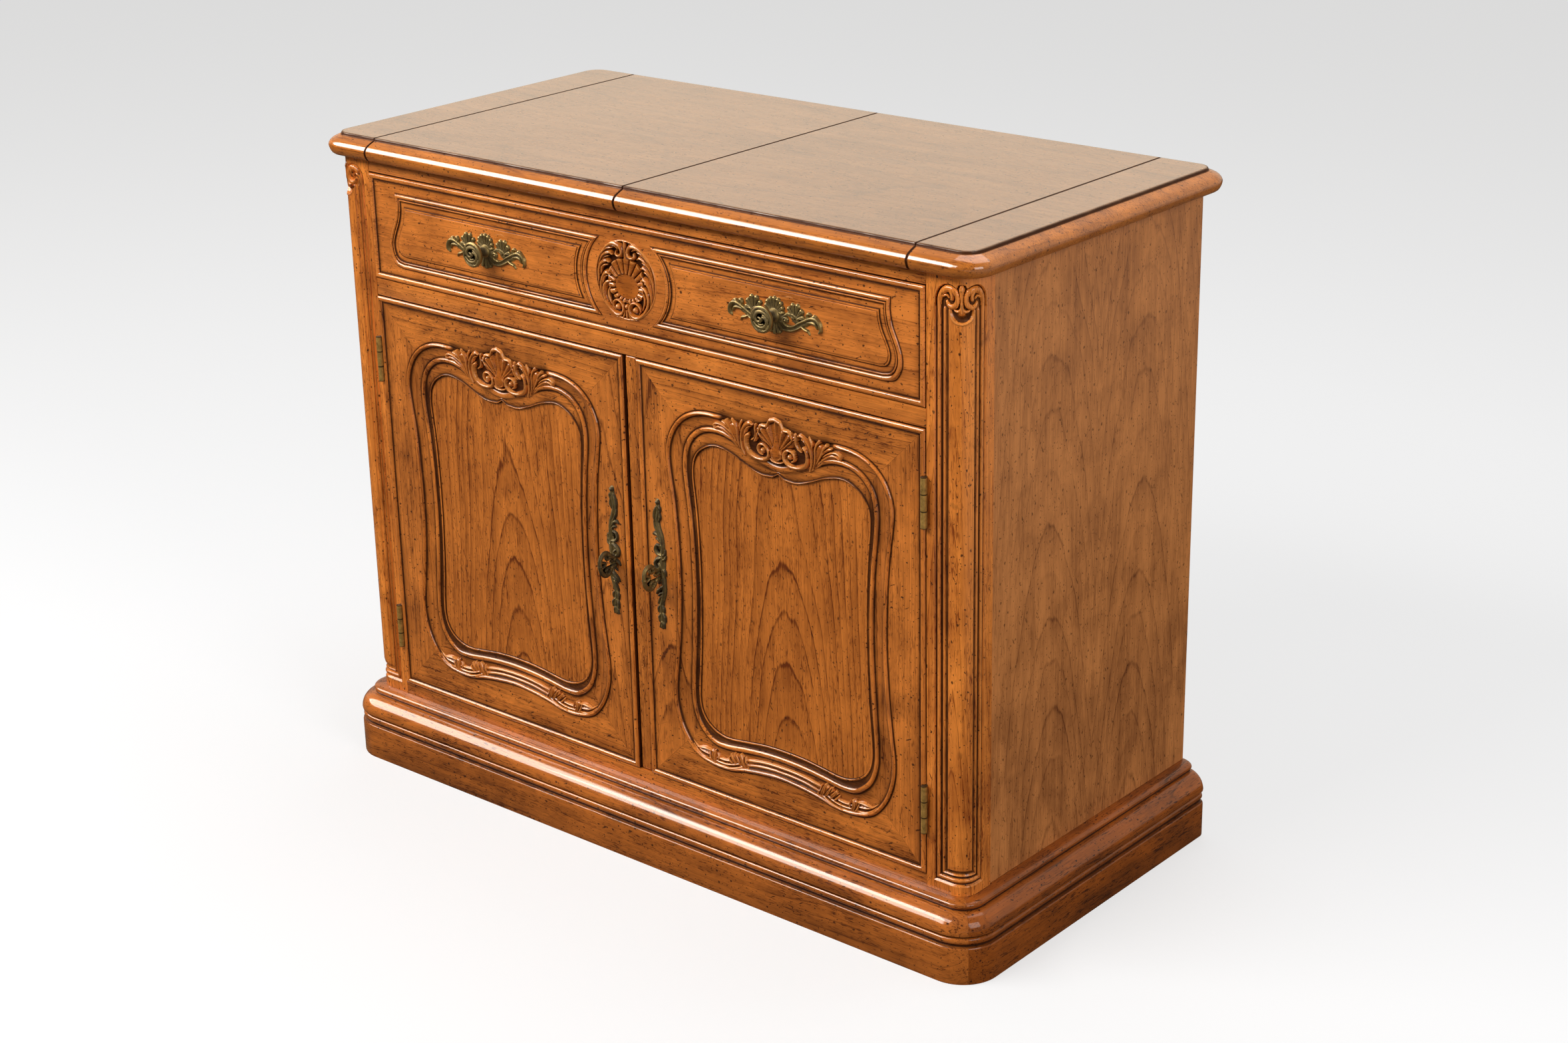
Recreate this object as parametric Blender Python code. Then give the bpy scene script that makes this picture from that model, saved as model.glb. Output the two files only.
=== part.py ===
"""Flip top server: a walnut cabinet with a moulded base, carved corner posts, two
panelled doors, one drawer, and a top whose two middle leaves turn over onto its ends.

Metres. +X is to the right, +Y to the back, +Z up. The origin is on the floor under the
middle of the whole piece.
"""
from math import cos, pi, sin

import bmesh
import bpy
from mathutils import Matrix

for piece in list(bpy.data.objects):
    bpy.data.objects.remove(piece, do_unlink=True)

# Clearances
seat_gap = 0.0003            # between pieces that are glued or that rest on each other
slide_gap = 0.0005           # between the drawer and its runners
reveal = 0.0012              # shadow line round each door and round the drawer front
seam_gap = 0.0010            # open seam between the leaves and the ends of the top

# Case
overall_height = 0.775
case_width = 0.894
case_depth = 0.419
side_thickness = 0.018
side_setback = 0.0019        # the side panels lie this far inside the posts
back_thickness = 0.006
back_setback = 0.002
rail_depth = 0.022
top_rail_height = 0.0145
drawer_opening_height = 0.125
middle_rail_height = 0.020
bottom_board_thickness = 0.0137
dust_panel_thickness = 0.012

# Corner posts
post_width = 0.050
post_depth = 0.043
post_corner_radius = 0.019

# Centre stile between the doors
stile_width = 0.0175
stile_setback = 0.0015
stile_round = 0.004

# Shelf
shelf_thickness = 0.016
shelf_height = 0.335         # underside of the shelf above the floor
shelf_setback = 0.047
shelf_housing_depth = 0.004

# Base
base_height = 0.086
base_overhang = 0.0294
base_return = 0.014          # how far the base boards reach in under the case
base_back_thickness = 0.018
base_rear_overhang = 0.002

# Top
top_thickness = 0.0247
top_front_overhang = 0.015
top_side_overhang = 0.019
top_rear_overhang = 0.028
nose_width = 0.016
nose_step = 0.003
plateau_corner_radius = 0.018
end_width = 0.082            # fixed ends, from the seam to the outer edge of the top
flip_axis_lift = 0.0003      # the leaves turn about a line just over the top's surface
flip_cup_radius = 0.005
flip_cup_length = 0.018
flip_cup_inset = 0.085       # from the front and rear edges of the top

# Doors
door_thickness = 0.019
door_bead_width = 0.0065
door_bead_height = 0.0025
panel_recess = 0.007
panel_thickness = 0.006
panel_play = 0.0004
frame_joint = 0.0003         # joint lines between stiles and rails

# Butt hinges of the doors
hinge_length = 0.054
knuckle_radius = 0.0034
hinge_plate = 0.0009
hinge_plate_depth = 0.016
hinge_pocket = 0.0012
hinge_end_distance = 0.0485  # from the door's top and bottom edges to the hinges

# Door pulls
pull_from_edge = 0.0225
pull_width = 0.020
pull_height = 0.154
pull_plate = 0.0035
pull_centre_height = 0.359
bow_reach = 0.024
bow_height = 0.034
bow_drop = 0.0105            # the bow's middle lies this far under the plate's middle
bow_thickness = 0.0055

# Drawer
drawer_front_thickness = 0.020
drawer_wall = 0.012
drawer_box_height = 0.095
drawer_bottom_thickness = 0.006
drawer_box_length = 0.380
runner_width = 0.020
runner_height = 0.005
guide_width = 0.010
guide_height = 0.030
field_height = 0.003
field_margin = 0.018         # from the drawer front's top and bottom edges to its raised fields
field_end_margin = 0.028
hollow_radius = 0.0615       # of the fields' inner ends, round the cartouche
cartouche_radius = 0.042
cartouche_height = 0.010

# Drawer knobs
knob_spacing = 0.412
knob_plate = 0.0035
knob_plate_half_width = 0.0615
knob_plate_half_height = 0.019
knob_radius = 0.014
knob_neck_radius = 0.0048
knob_reach = 0.031           # from the case's front plane to the knob's face
knob_head = 0.011

# Places worked out from the sizes above
total_depth = knob_reach + case_depth + top_rear_overhang
front = knob_reach - total_depth / 2
rear = front + case_depth
case_half = case_width / 2
case_floor = base_height + seat_gap
case_top = overall_height - top_thickness - seat_gap
side_outer = case_half - side_setback
side_inner = side_outer - side_thickness
opening_half = case_half - post_width
post_rear = front + post_depth
rail_rear = front + rail_depth
back_front = rear - back_setback - back_thickness
board_rear = back_front - seat_gap
door_floor = case_floor + bottom_board_thickness
drawer_ceiling = case_top - top_rail_height
drawer_floor = drawer_ceiling - drawer_opening_height
door_ceiling = drawer_floor - middle_rail_height
top_half = case_half + top_side_overhang
top_front = front - top_front_overhang
top_rear = rear + top_rear_overhang
seam = top_half - end_width


def make_material(name, colour, roughness, metallic=0.0):
    material = bpy.data.materials.new(name)
    material.use_nodes = True
    shader = material.node_tree.nodes["Principled BSDF"]
    shader.inputs["Base Color"].default_value = (*colour, 1.0)
    shader.inputs["Roughness"].default_value = roughness
    shader.inputs["Metallic"].default_value = metallic
    return material


walnut = make_material("walnut", (0.36, 0.15, 0.055), 0.35)
inner_wood = make_material("inner_wood", (0.42, 0.27, 0.15), 0.6)
laminate = make_material("laminate", (0.02, 0.018, 0.016), 0.4)
brass = make_material("brass", (0.55, 0.38, 0.16), 0.35, 1.0)
bronze = make_material("bronze", (0.16, 0.12, 0.07), 0.4, 1.0)


def place(name, mesh_edit, material, smooth=False):
    bmesh.ops.recalc_face_normals(mesh_edit, faces=mesh_edit.faces)
    mesh = bpy.data.meshes.new(name)
    mesh_edit.to_mesh(mesh)
    mesh_edit.free()
    mesh.materials.append(material)
    if smooth:
        mesh.shade_smooth()
        mesh.set_sharp_from_angle(angle=0.6)
    piece = bpy.data.objects.new(name, mesh)
    bpy.context.scene.collection.objects.link(piece)
    return piece


def add_stack(mesh_edit, loops, closed=False):
    """Bridge loops of equally many points. The ends are capped, or joined to each other."""
    rows = [[mesh_edit.verts.new(point) for point in loop] for loop in loops]
    count = len(rows[0])
    pairs = list(zip(rows, rows[1:]))
    if closed:
        pairs.append((rows[-1], rows[0]))
    for low, high in pairs:
        for i in range(count):
            j = (i + 1) % count
            mesh_edit.faces.new((low[i], low[j], high[j], high[i]))
    if not closed:
        mesh_edit.faces.new(rows[0])
        mesh_edit.faces.new(rows[-1])


def stack(name, loops, material, closed=False, smooth=False):
    mesh_edit = bmesh.new()
    add_stack(mesh_edit, loops, closed)
    return place(name, mesh_edit, material, smooth)


def along_x(outline, start, end):
    return [[(x, y, z) for y, z in outline] for x in (start, end)]


def along_y(outline, start, end):
    return [[(x, y, z) for x, z in outline] for y in (start, end)]


def along_z(outline, start, end):
    return [[(x, y, z) for x, y in outline] for z in (start, end)]


def rectangle(low_a, high_a, low_b, high_b):
    return [(low_a, low_b), (high_a, low_b), (high_a, high_b), (low_a, high_b)]


def board(name, x_span, y_span, z_span, material):
    return stack(name, along_z(rectangle(*x_span, *y_span), *z_span), material)


def side_span(side, low, high):
    return (low, high) if side > 0 else (-high, -low)


def arc(centre_a, centre_b, radius, start, end, steps):
    turn = [start + (end - start) * i / steps for i in range(steps + 1)]
    return [(centre_a + radius * cos(t), centre_b + radius * sin(t)) for t in turn]


def cutter(name, mesh_edit):
    piece = place(name, mesh_edit, walnut)
    piece.hide_render = True
    piece.display_type = "WIRE"
    return piece


def apply_boolean(piece, tool, operation):
    modifier = piece.modifiers.new(operation.lower(), "BOOLEAN")
    modifier.operation = operation
    modifier.object = tool


sides = (("left", -1), ("right", 1))


# Base: moulded boards under the front and the two sides, and a plain one at the back
def base_profile():
    """The moulding from the floor up, as outward distance from the case and height."""
    proud = base_overhang
    plinth = base_height * 0.49
    return [
        (proud, 0.0),
        (proud, plinth - 0.0015),
        (proud - 0.0015, plinth),
        (proud - 0.004, plinth + 0.0015),
        (proud - 0.004, plinth + 0.0035),
        (proud - 0.0014, plinth + 0.0055),
        (proud - 0.0014, plinth + 0.0095),
        (proud - 0.0035, plinth + 0.0120),
        (proud, plinth + 0.0140),
        (proud - 0.0008, plinth + 0.0195),
        (proud - 0.0045, plinth + 0.0260),
        (proud - 0.0110, plinth + 0.0310),
        (proud - 0.0180, plinth + 0.0340),
        (proud - 0.0185, plinth + 0.0355),
        (proud - 0.0165, base_height - 0.0050),
        (proud - 0.0180, base_height - 0.0010),
        (proud - 0.0220, base_height),
    ]


base_turn = front + base_return
base_inner = case_half - base_return
base_rear = rear + base_rear_overhang
front_loops = []
for proud, height in base_profile():
    corner = arc(base_inner, base_turn, base_return + proud, 0.0, -pi / 2, 7)
    plan = corner + [(-x, y) for x, y in reversed(corner)]
    front_loops.append([(x, y, height) for x, y in plan])
stack("base_front", front_loops, walnut, smooth=True)
for name, side in sides:
    outline = [(side * (case_half + proud), height) for proud, height in base_profile()]
    outline += [(side * base_inner, base_height), (side * base_inner, 0.0)]
    stack(f"base_{name}", along_y(outline, base_turn + seat_gap, base_rear), walnut)
base_back_half = base_inner - seat_gap
board("base_back", (-base_back_half, base_back_half), (base_rear - base_back_thickness, base_rear),
      (0.0, base_height), inner_wood)

# Butt hinges: where they lie along the doors, and the line that they turn on
door_low = door_floor + reveal
door_high = door_ceiling - reveal
hinge_starts = {
    "upper": door_high - hinge_end_distance - hinge_length,
    "lower": door_low + hinge_end_distance,
}
hinge_line_x = opening_half - reveal / 2
hinge_line_y = front - knuckle_radius - 0.0004


def hinge_pockets(name, low_x, high_x, low_y, high_y, side):
    """Pockets for both hinges, as one tool that cuts a post or a door stile."""
    mesh_edit = bmesh.new()
    span = side_span(side, low_x, high_x)
    for start in hinge_starts.values():
        outline = rectangle(*span, low_y, high_y)
        add_stack(mesh_edit, along_z(outline, start - seat_gap, start + hinge_length + seat_gap))
    return cutter(name, mesh_edit)


# Corner posts with a rounded outer corner, and the side panels that are housed behind them
for name, side in sides:
    rounding = arc(case_half - post_corner_radius, front + post_corner_radius,
                   post_corner_radius, -pi / 2, 0.0, 7)
    plan = [(opening_half, front)] + rounding + [(case_half, post_rear), (opening_half, post_rear)]
    plan = [(side * x, y) for x, y in plan]
    post = stack(f"{name}_post", along_z(plan, case_floor, case_top), walnut, smooth=True)
    pockets = hinge_pockets(f"cut_{name}_post", opening_half - 0.002, opening_half + hinge_pocket,
                            front - 0.01, front + hinge_plate_depth + 0.001, side)
    apply_boolean(post, pockets, "DIFFERENCE")

    shelf_low = shelf_height - seat_gap
    shelf_top = shelf_height + shelf_thickness + seat_gap
    housing = side_inner + shelf_housing_depth
    section = [(side_inner, case_floor), (side_outer, case_floor), (side_outer, case_top),
               (side_inner, case_top), (side_inner, shelf_top), (housing, shelf_top),
               (housing, shelf_low), (side_inner, shelf_low)]
    section = [(side * x, z) for x, z in section]
    stack(f"{name}_side", along_y(section, post_rear + seat_gap, rear), walnut)


# Case: back, boards that are notched round the posts, rails, centre stile and shelf
def notched_board(name, first_y, z_span, material):
    """A board between the side panels whose front part passes between the posts."""
    wide = side_inner - seat_gap
    narrow = opening_half - seat_gap
    shoulder = post_rear + seat_gap
    half = [(narrow, first_y), (narrow, shoulder), (wide, shoulder), (wide, board_rear)]
    plan = half + [(-x, y) for x, y in reversed(half)]
    stack(name, along_z(plan, *z_span), material)


inner_half = side_inner - seat_gap
rail_half = opening_half - seat_gap
board("back_panel", (-inner_half, inner_half), (back_front, back_front + back_thickness),
      (case_floor, case_top), inner_wood)
notched_board("bottom_board", front, (case_floor, door_floor), walnut)
notched_board("dust_panel", rail_rear + seat_gap,
              (drawer_floor - dust_panel_thickness, drawer_floor), inner_wood)
notched_board("serving_deck", rail_rear + seat_gap, (drawer_ceiling, case_top), laminate)
board("middle_rail", (-rail_half, rail_half), (front, rail_rear), (door_ceiling, drawer_floor), walnut)
board("top_rail", (-rail_half, rail_half), (front, rail_rear), (drawer_ceiling, case_top), walnut)

stile_half = stile_width / 2
stile_front = front + stile_setback
stile_plan = arc(stile_half - stile_round, stile_front + stile_round, stile_round, -pi / 2, 0.0, 3)
stile_plan = stile_plan + [(stile_half, rail_rear)]
stile_plan = stile_plan + [(-x, y) for x, y in reversed(stile_plan)]
stack("centre_stile", along_z(stile_plan, door_floor + seat_gap, door_ceiling - seat_gap),
      walnut, smooth=True)

shelf_half = side_inner + shelf_housing_depth - seat_gap
board("shelf", (-shelf_half, shelf_half), (front + shelf_setback, board_rear),
      (shelf_height, shelf_height + shelf_thickness), inner_wood)


# Top: two fixed ends, and two leaves that turn over onto them
def nose_profile():
    """The edge of the top from its underside up, as inward distance from its outermost line."""
    low = overall_height - top_thickness
    return [
        (0.0045, low),
        (0.0016, low + 0.0030),
        (0.0, low + 0.0085),
        (0.0006, low + 0.0125),
        (0.0030, overall_height - 0.0085),
        (0.0070, overall_height - 0.0058),
        (0.0120, overall_height - 0.0040),
        (nose_width - 0.0015, overall_height - nose_step),
        (nose_width, overall_height - 0.0012),
        (nose_width + 0.0012, overall_height),
    ]


def drill_flip_cups(piece, name, start, end):
    """Bores for the concealed hinges, into the edge that meets the seam."""
    mesh_edit = bmesh.new()
    for place_y in flip_places:
        circle = arc(place_y, flip_height, flip_cup_radius + seat_gap, 0.0, 2 * pi, 12)[:-1]
        add_stack(mesh_edit, along_x(circle, start, end))
    apply_boolean(piece, cutter(name, mesh_edit), "DIFFERENCE")


flip_height = overall_height - top_thickness / 2
flip_places = (top_front + flip_cup_inset, top_rear - flip_cup_inset)
fixed_edge = seam + seam_gap / 2
leaf_edge = seam - seam_gap / 2
corner_radius = plateau_corner_radius + nose_width
for name, side in sides:
    end_loops = []
    for inward, height in nose_profile():
        radius = corner_radius - inward
        front_corner = arc(top_half - corner_radius, top_front + corner_radius, radius, -pi / 2, 0.0, 6)
        rear_corner = arc(top_half - corner_radius, top_rear - corner_radius, radius, 0.0, pi / 2, 6)
        plan = [(fixed_edge, top_front + inward)] + front_corner + rear_corner
        plan = plan + [(fixed_edge, top_rear - inward)]
        end_loops.append([(side * x, y, height) for x, y in plan])
    top_end = stack(f"{name}_top_end", end_loops, walnut, smooth=True)
    drill_flip_cups(top_end, f"cut_{name}_top_end", side * (fixed_edge - 0.001),
                    side * (fixed_edge + flip_cup_length + seat_gap))

    nose = [(top_front + inward, height) for inward, height in nose_profile()]
    nose += [(top_rear - inward, height) for inward, height in reversed(nose_profile())]
    leaf_span = sorted((side * seam_gap / 2, side * leaf_edge))
    leaf = stack(f"{name}_leaf", along_x(nose, *leaf_span), walnut, smooth=True)
    drill_flip_cups(leaf, f"cut_{name}_leaf", side * (leaf_edge + 0.001),
                    side * (leaf_edge - flip_cup_length - seat_gap))

    for place_name, place_y in zip(("front", "rear"), flip_places):
        circle = arc(place_y, flip_height, flip_cup_radius, 0.0, 2 * pi, 12)[:-1]
        fixed_span = (side * fixed_edge, side * (fixed_edge + flip_cup_length))
        stack(f"{name}_flip_hinge_{place_name}_fixed", along_x(circle, *fixed_span), brass, smooth=True)
        moving_span = (side * leaf_edge, side * (leaf_edge - flip_cup_length))
        stack(f"{name}_flip_hinge_{place_name}_moving", along_x(circle, *moving_span), brass, smooth=True)


# Doors: a moulded frame of two stiles and two rails round a veneered panel
door_inner_edge = stile_half + reveal
door_outer_edge = opening_half - reveal
door_middle = (door_inner_edge + door_outer_edge) / 2
door_half_width = (door_outer_edge - door_inner_edge) / 2
door_half_height = (door_high - door_low) / 2
door_centre_height = (door_high + door_low) / 2
frame_width_margin = 0.0386   # from the door's edge to the widest part of the moulding
frame_top_margin = 0.0290     # from the door's top edge to the crest of the moulding
frame_bottom_margin = 0.0374
frame_moulding = 0.0355       # width of the moulding at the door's waist


def frame_outline(fraction):
    """The moulded frame's shaped line, right half from bottom to top and then the left half.

    Fraction 0 is the outer edge of the moulding, and 1 the edge of the panel.
    """
    wide = door_half_width - frame_width_margin
    top = door_high - frame_top_margin
    bottom = door_low + frame_bottom_margin
    tall = top - bottom
    narrow = wide - frame_moulding
    outer = [
        (0.0, 0.025), (0.35, 0.012), (0.47, 0.0), (0.64, 0.0), (0.80, 0.018), (0.91, 0.062),
        (0.98, 0.121), (1.0, 0.183), (0.975, 0.25), (0.945, 0.355), (0.928, 0.49), (0.935, 0.61),
        (0.952, 0.71), (0.978, 0.791), (0.982, 0.839), (0.960, 0.886), (0.902, 0.924),
        (0.80, 0.955), (0.667, 0.971), (0.505, 0.970), (0.33, 0.971), (0.16, 0.988), (0.0, 1.0),
    ]
    inner = [
        (0.0, 0.113), (0.42, 0.103), (0.575, 0.097), (0.73, 0.0925), (0.85, 0.0937), (0.95, 0.114),
        (0.995, 0.147), (1.0, 0.194), (0.978, 0.265), (0.962, 0.36), (0.953, 0.49), (0.962, 0.62),
        (0.978, 0.715), (0.995, 0.787), (0.995, 0.827), (0.945, 0.851), (0.865, 0.870),
        (0.77, 0.886), (0.66, 0.887), (0.49, 0.8755), (0.32, 0.855), (0.17, 0.8435), (0.0, 0.859),
    ]
    outer = [(a * wide, bottom + b * tall) for a, b in outer]
    inner = [(a * narrow, bottom + b * tall) for a, b in inner]
    half = [(a + (c - a) * fraction, b + (d - b) * fraction) for (a, b), (c, d) in zip(outer, inner)]
    return half + [(-a, b) for a, b in reversed(half[1:-1])]


def edge_outline(inset):
    """A rectangle with a point opposite each point of the moulded frame's line."""
    half_width = door_half_width - inset
    half_height = door_half_height - inset
    points = []
    steepness = []
    for across, height in frame_outline(0.0):
        rise = height - door_centre_height
        scale = min(door_half_width / max(abs(across), 1e-6), door_half_height / max(abs(rise), 1e-6))
        a = across * scale * half_width / door_half_width
        b = rise * scale * half_height / door_half_height
        points.append([a, b])
        steepness.append((across * scale / door_half_width, rise * scale / door_half_height))
    for sign_a in (-1, 1):
        for sign_b in (-1, 1):
            distances = [abs(a - sign_a) + abs(b - sign_b) for a, b in steepness]
            nearest = distances.index(min(distances))
            points[nearest] = [sign_a * half_width, sign_b * half_height]
    return [(a, door_centre_height + b) for a, b in points]


def door_frame_loops(side):
    """Loops round the whole frame: its back, its beaded edge, the moulding and the panel's edge."""
    back = front + door_thickness
    levels = [
        (edge_outline(0.0), back),
        (edge_outline(0.0), front - 0.4 * door_bead_height),
        (edge_outline(0.25 * door_bead_width), front - door_bead_height),
        (edge_outline(0.75 * door_bead_width), front - door_bead_height),
        (edge_outline(door_bead_width), front),
        (frame_outline(0.0), front),
        (frame_outline(0.09), front - 0.003),
        (frame_outline(0.22), front - 0.0025),
        (frame_outline(0.30), front + 0.001),
        (frame_outline(0.52), front + 0.0035),
        (frame_outline(0.72), front + 0.0005),
        (frame_outline(0.86), front + 0.0005),
        (frame_outline(1.0), front + panel_recess - 0.0005),
        (frame_outline(1.0), back),
    ]
    return [[(side * (door_middle + a), y, b) for a, b in outline] for outline, y in levels]


def door_member(name, side, across, upward):
    """One stile or rail: the part of the frame inside the given box, measured from the door's middle."""
    member = stack(name, door_frame_loops(side), walnut, closed=True)
    mesh_edit = bmesh.new()
    span = sorted((side * (door_middle + across[0]), side * (door_middle + across[1])))
    outline = rectangle(*span, front - 0.03, front + 0.05)
    add_stack(mesh_edit, along_z(outline, *upward))
    apply_boolean(member, cutter(f"cut_{name}", mesh_edit), "INTERSECT")
    return member


rail_cut = min(across for across, height in frame_outline(1.0) if
               abs(height - door_centre_height) < 0.25 * door_half_height and across > 0) - 0.0005
far = 0.3
for name, side in sides:
    above = (door_centre_height, door_high + 0.05)
    below = (door_low - 0.05, door_centre_height)
    rail_span = (-rail_cut + frame_joint / 2, rail_cut - frame_joint / 2)
    door_member(f"{name}_door_top_rail", side, rail_span, above)
    door_member(f"{name}_door_bottom_rail", side, rail_span, below)
    whole = (below[0], above[1])
    door_member(f"{name}_door_pull_stile", side, (-far, -rail_cut - frame_joint / 2), whole)
    hinge_stile = door_member(f"{name}_door_hinge_stile", side, (rail_cut + frame_joint / 2, far), whole)
    pockets = hinge_pockets(f"cut_{name}_door_edge", door_outer_edge - hinge_pocket,
                            door_outer_edge + 0.01, front - 0.01,
                            front + hinge_plate_depth + 0.001, side)
    apply_boolean(hinge_stile, pockets, "DIFFERENCE")
    room = hinge_pockets(f"cut_{name}_door_bead", hinge_line_x - knuckle_radius - 0.0004,
                         door_outer_edge + 0.01, front - 0.012, front, side)
    apply_boolean(hinge_stile, room, "DIFFERENCE")

    shrink_a = 1 - panel_play / door_half_width * 2
    shrink_b = 1 - panel_play / door_half_height * 2
    panel = [(side * (door_middle + a * shrink_a), door_centre_height + (b - door_centre_height) * shrink_b)
             for a, b in frame_outline(1.0)]
    panel_front = front + panel_recess
    stack(f"{name}_door_panel", along_y(panel, panel_front, panel_front + panel_thickness), walnut)


# Butt hinges: each leaf is a plate with its own knuckles
def hinge_leaf(name, side, plate_x, start, knuckles, tabs):
    """A plate in its pocket, tabs that reach the hinge line, and the knuckles on that line."""
    mesh_edit = bmesh.new()
    plate_end = front + hinge_plate_depth
    plate_start = front + 0.0003
    span = side_span(side, plate_x, plate_x + hinge_plate)
    outline = [(plate_end, start), (plate_end, start + hinge_length), (plate_start, start + hinge_length)]
    for low, high in reversed(tabs):
        outline += [(plate_start, high), (hinge_line_y, high), (hinge_line_y, low), (plate_start, low)]
    outline += [(plate_start, start)]
    tidy = []
    for point in outline:
        if not tidy or abs(point[0] - tidy[-1][0]) + abs(point[1] - tidy[-1][1]) > 1e-6:
            tidy.append(point)
    add_stack(mesh_edit, along_x(tidy, *span))
    leaf = place(name, mesh_edit, brass)
    barrel = bmesh.new()
    for low, high in knuckles:
        circle = arc(side * hinge_line_x, hinge_line_y, knuckle_radius, 0.0, 2 * pi, 12)[:-1]
        add_stack(barrel, along_z(circle, low, high))
    apply_boolean(leaf, cutter(f"add_{name}", barrel), "UNION")
    return leaf


for name, side in sides:
    for place_name, start in hinge_starts.items():
        third = hinge_length / 3
        low_end = start + third - 0.00015
        high_start = start + 2 * third + 0.00015
        outer = [(start, low_end), (high_start, start + hinge_length)]
        middle = [(low_end + 0.0003, high_start - 0.0003)]
        post_plate = opening_half + hinge_pocket - seat_gap - hinge_plate
        hinge_leaf(f"{name}_door_hinge_{place_name}_fixed", side, post_plate, start, outer, outer)
        door_plate = door_outer_edge - hinge_pocket + seat_gap
        hinge_leaf(f"{name}_door_hinge_{place_name}_moving", side, door_plate, start, middle, middle)


# Door pulls: a long cast plate with a key-bow handle standing out of it
pull_x = door_inner_edge + pull_from_edge
for name, side in sides:
    half = [(0.0, 0.5), (0.3, 0.49), (0.34, 0.44), (0.16, 0.38), (0.42, 0.28), (0.30, 0.20),
            (0.50, 0.10), (0.38, 0.0)]
    outline = [(a, b) for a, b in half] + [(a, -b) for a, b in reversed(half[:-1])]
    outline = outline + [(-a, b) for a, b in reversed(outline[1:-1])]
    plate = [(side * pull_x + a * pull_width, pull_centre_height + b * pull_height) for a, b in outline]
    plate_front = front - seat_gap - pull_plate
    pull = stack(f"{name}_door_pull", along_y(plate, front - seat_gap, plate_front), bronze)
    bow_centre = pull_centre_height - bow_drop
    root = plate_front + 0.0012
    tip = plate_front - bow_reach
    bow = [(root, bow_centre - 0.2 * bow_height), (root, bow_centre + 0.2 * bow_height)]
    for turn in range(9):
        angle = 0.5 * pi + pi * turn / 8
        bow.append((tip + 0.55 * bow_reach + 0.55 * bow_reach * cos(angle),
                    bow_centre + bow_height / 2 * sin(angle)))
    mesh_edit = bmesh.new()
    add_stack(mesh_edit, along_x(bow, side * pull_x - bow_thickness / 2, side * pull_x + bow_thickness / 2))
    apply_boolean(pull, cutter(f"add_{name}_bow", mesh_edit), "UNION")

# Drawer front: a board with a beaded edge, two raised fields and a round cartouche
front_half = opening_half - reveal
front_low = drawer_floor + reveal
front_high = drawer_ceiling - reveal
front_middle = (front_low + front_high) / 2
front_back = front + drawer_front_thickness
drawer_front = board("drawer_front", (-front_half, front_half), (front, front_back),
                     (front_low, front_high), walnut)


def raised_field(side):
    """The outer line of one raised field, hollowed round the cartouche at its inner end."""
    low = front_low + field_margin
    high = front_high - field_margin
    outer = front_half - field_end_margin
    hollow = arc(0.0, front_middle, hollow_radius, 0.74, -0.74, 6)
    ends = [(outer - 0.014, low), (outer - 0.004, low + 0.005), (outer, low + 0.018),
            (outer - 0.003, low + 0.036), (outer - 0.011, low + 0.056), (outer - 0.014, high)]
    return [(side * a, b) for a, b in hollow + ends]


def narrowed(outline, amount):
    low_a, high_a = min(a for a, b in outline), max(a for a, b in outline)
    low_b, high_b = min(b for a, b in outline), max(b for a, b in outline)
    middle_a, middle_b = (low_a + high_a) / 2, (low_b + high_b) / 2
    scale_a = 1 - 2 * amount / (high_a - low_a)
    scale_b = 1 - 2 * amount / (high_b - low_b)
    return [(middle_a + (a - middle_a) * scale_a, middle_b + (b - middle_b) * scale_b) for a, b in outline]


mesh_edit = bmesh.new()
bead_levels = [(0.0, front + 0.001), (0.0, front - 0.4 * door_bead_height),
               (0.25 * door_bead_width, front - door_bead_height),
               (0.75 * door_bead_width, front - door_bead_height),
               (door_bead_width, front), (door_bead_width, front + 0.001)]
bead = []
for inset, y in bead_levels:
    outline = rectangle(-front_half + inset, front_half - inset, front_low + inset, front_high - inset)
    bead.append([(x, y, z) for x, z in outline])
add_stack(mesh_edit, bead, closed=True)
for side in (-1, 1):
    outline = raised_field(side)
    levels = [(0.0, front + 0.001), (0.0, front - 0.0005), (0.0015, front - field_height),
              (0.004, front - field_height), (0.006, front - 0.001), (0.015, front - 0.001),
              (0.018, front - field_height)]
    add_stack(mesh_edit, [[(x, y, z) for x, z in narrowed(outline, inset)] for inset, y in levels])
dome = []
for radius, rise in ((1.0, -0.001), (1.0, 0.0025), (0.9, 0.006), (0.62, 0.0045), (0.5, 0.0085),
                     (0.2, cartouche_height)):
    circle = arc(0.0, front_middle, cartouche_radius * radius, 0.0, 2 * pi, 20)[:-1]
    dome.append([(x, front - rise, z) for x, z in circle])
add_stack(mesh_edit, dome)
apply_boolean(drawer_front, cutter("add_drawer_relief", mesh_edit), "UNION")

# Drawer box, with the runners and guides that carry it
guide_inner = opening_half - 0.006
box_outer = guide_inner - slide_gap
box_inner = box_outer - drawer_wall
box_low = drawer_floor + seat_gap + runner_height + slide_gap
box_high = box_low + drawer_box_height
box_start = front_back + seat_gap
box_end = box_start + drawer_box_length
floor_top = box_low + drawer_bottom_thickness
for name, side in sides:
    board(f"drawer_{name}_side", side_span(side, box_inner, box_outer), (box_start, box_end),
          (box_low, box_high), inner_wood)
    low = drawer_floor + seat_gap
    section = [(guide_inner - runner_width, low), (guide_inner + guide_width, low),
               (guide_inner + guide_width, low + guide_height), (guide_inner, low + guide_height),
               (guide_inner, low + runner_height), (guide_inner - runner_width, low + runner_height)]
    section = [(side * x, z) for x, z in section]
    stack(f"{name}_drawer_runner", along_y(section, post_rear + seat_gap, board_rear), inner_wood)
between = box_inner - seat_gap
board("drawer_bottom", (-between, between), (box_start, box_end), (box_low, floor_top), inner_wood)
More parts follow.
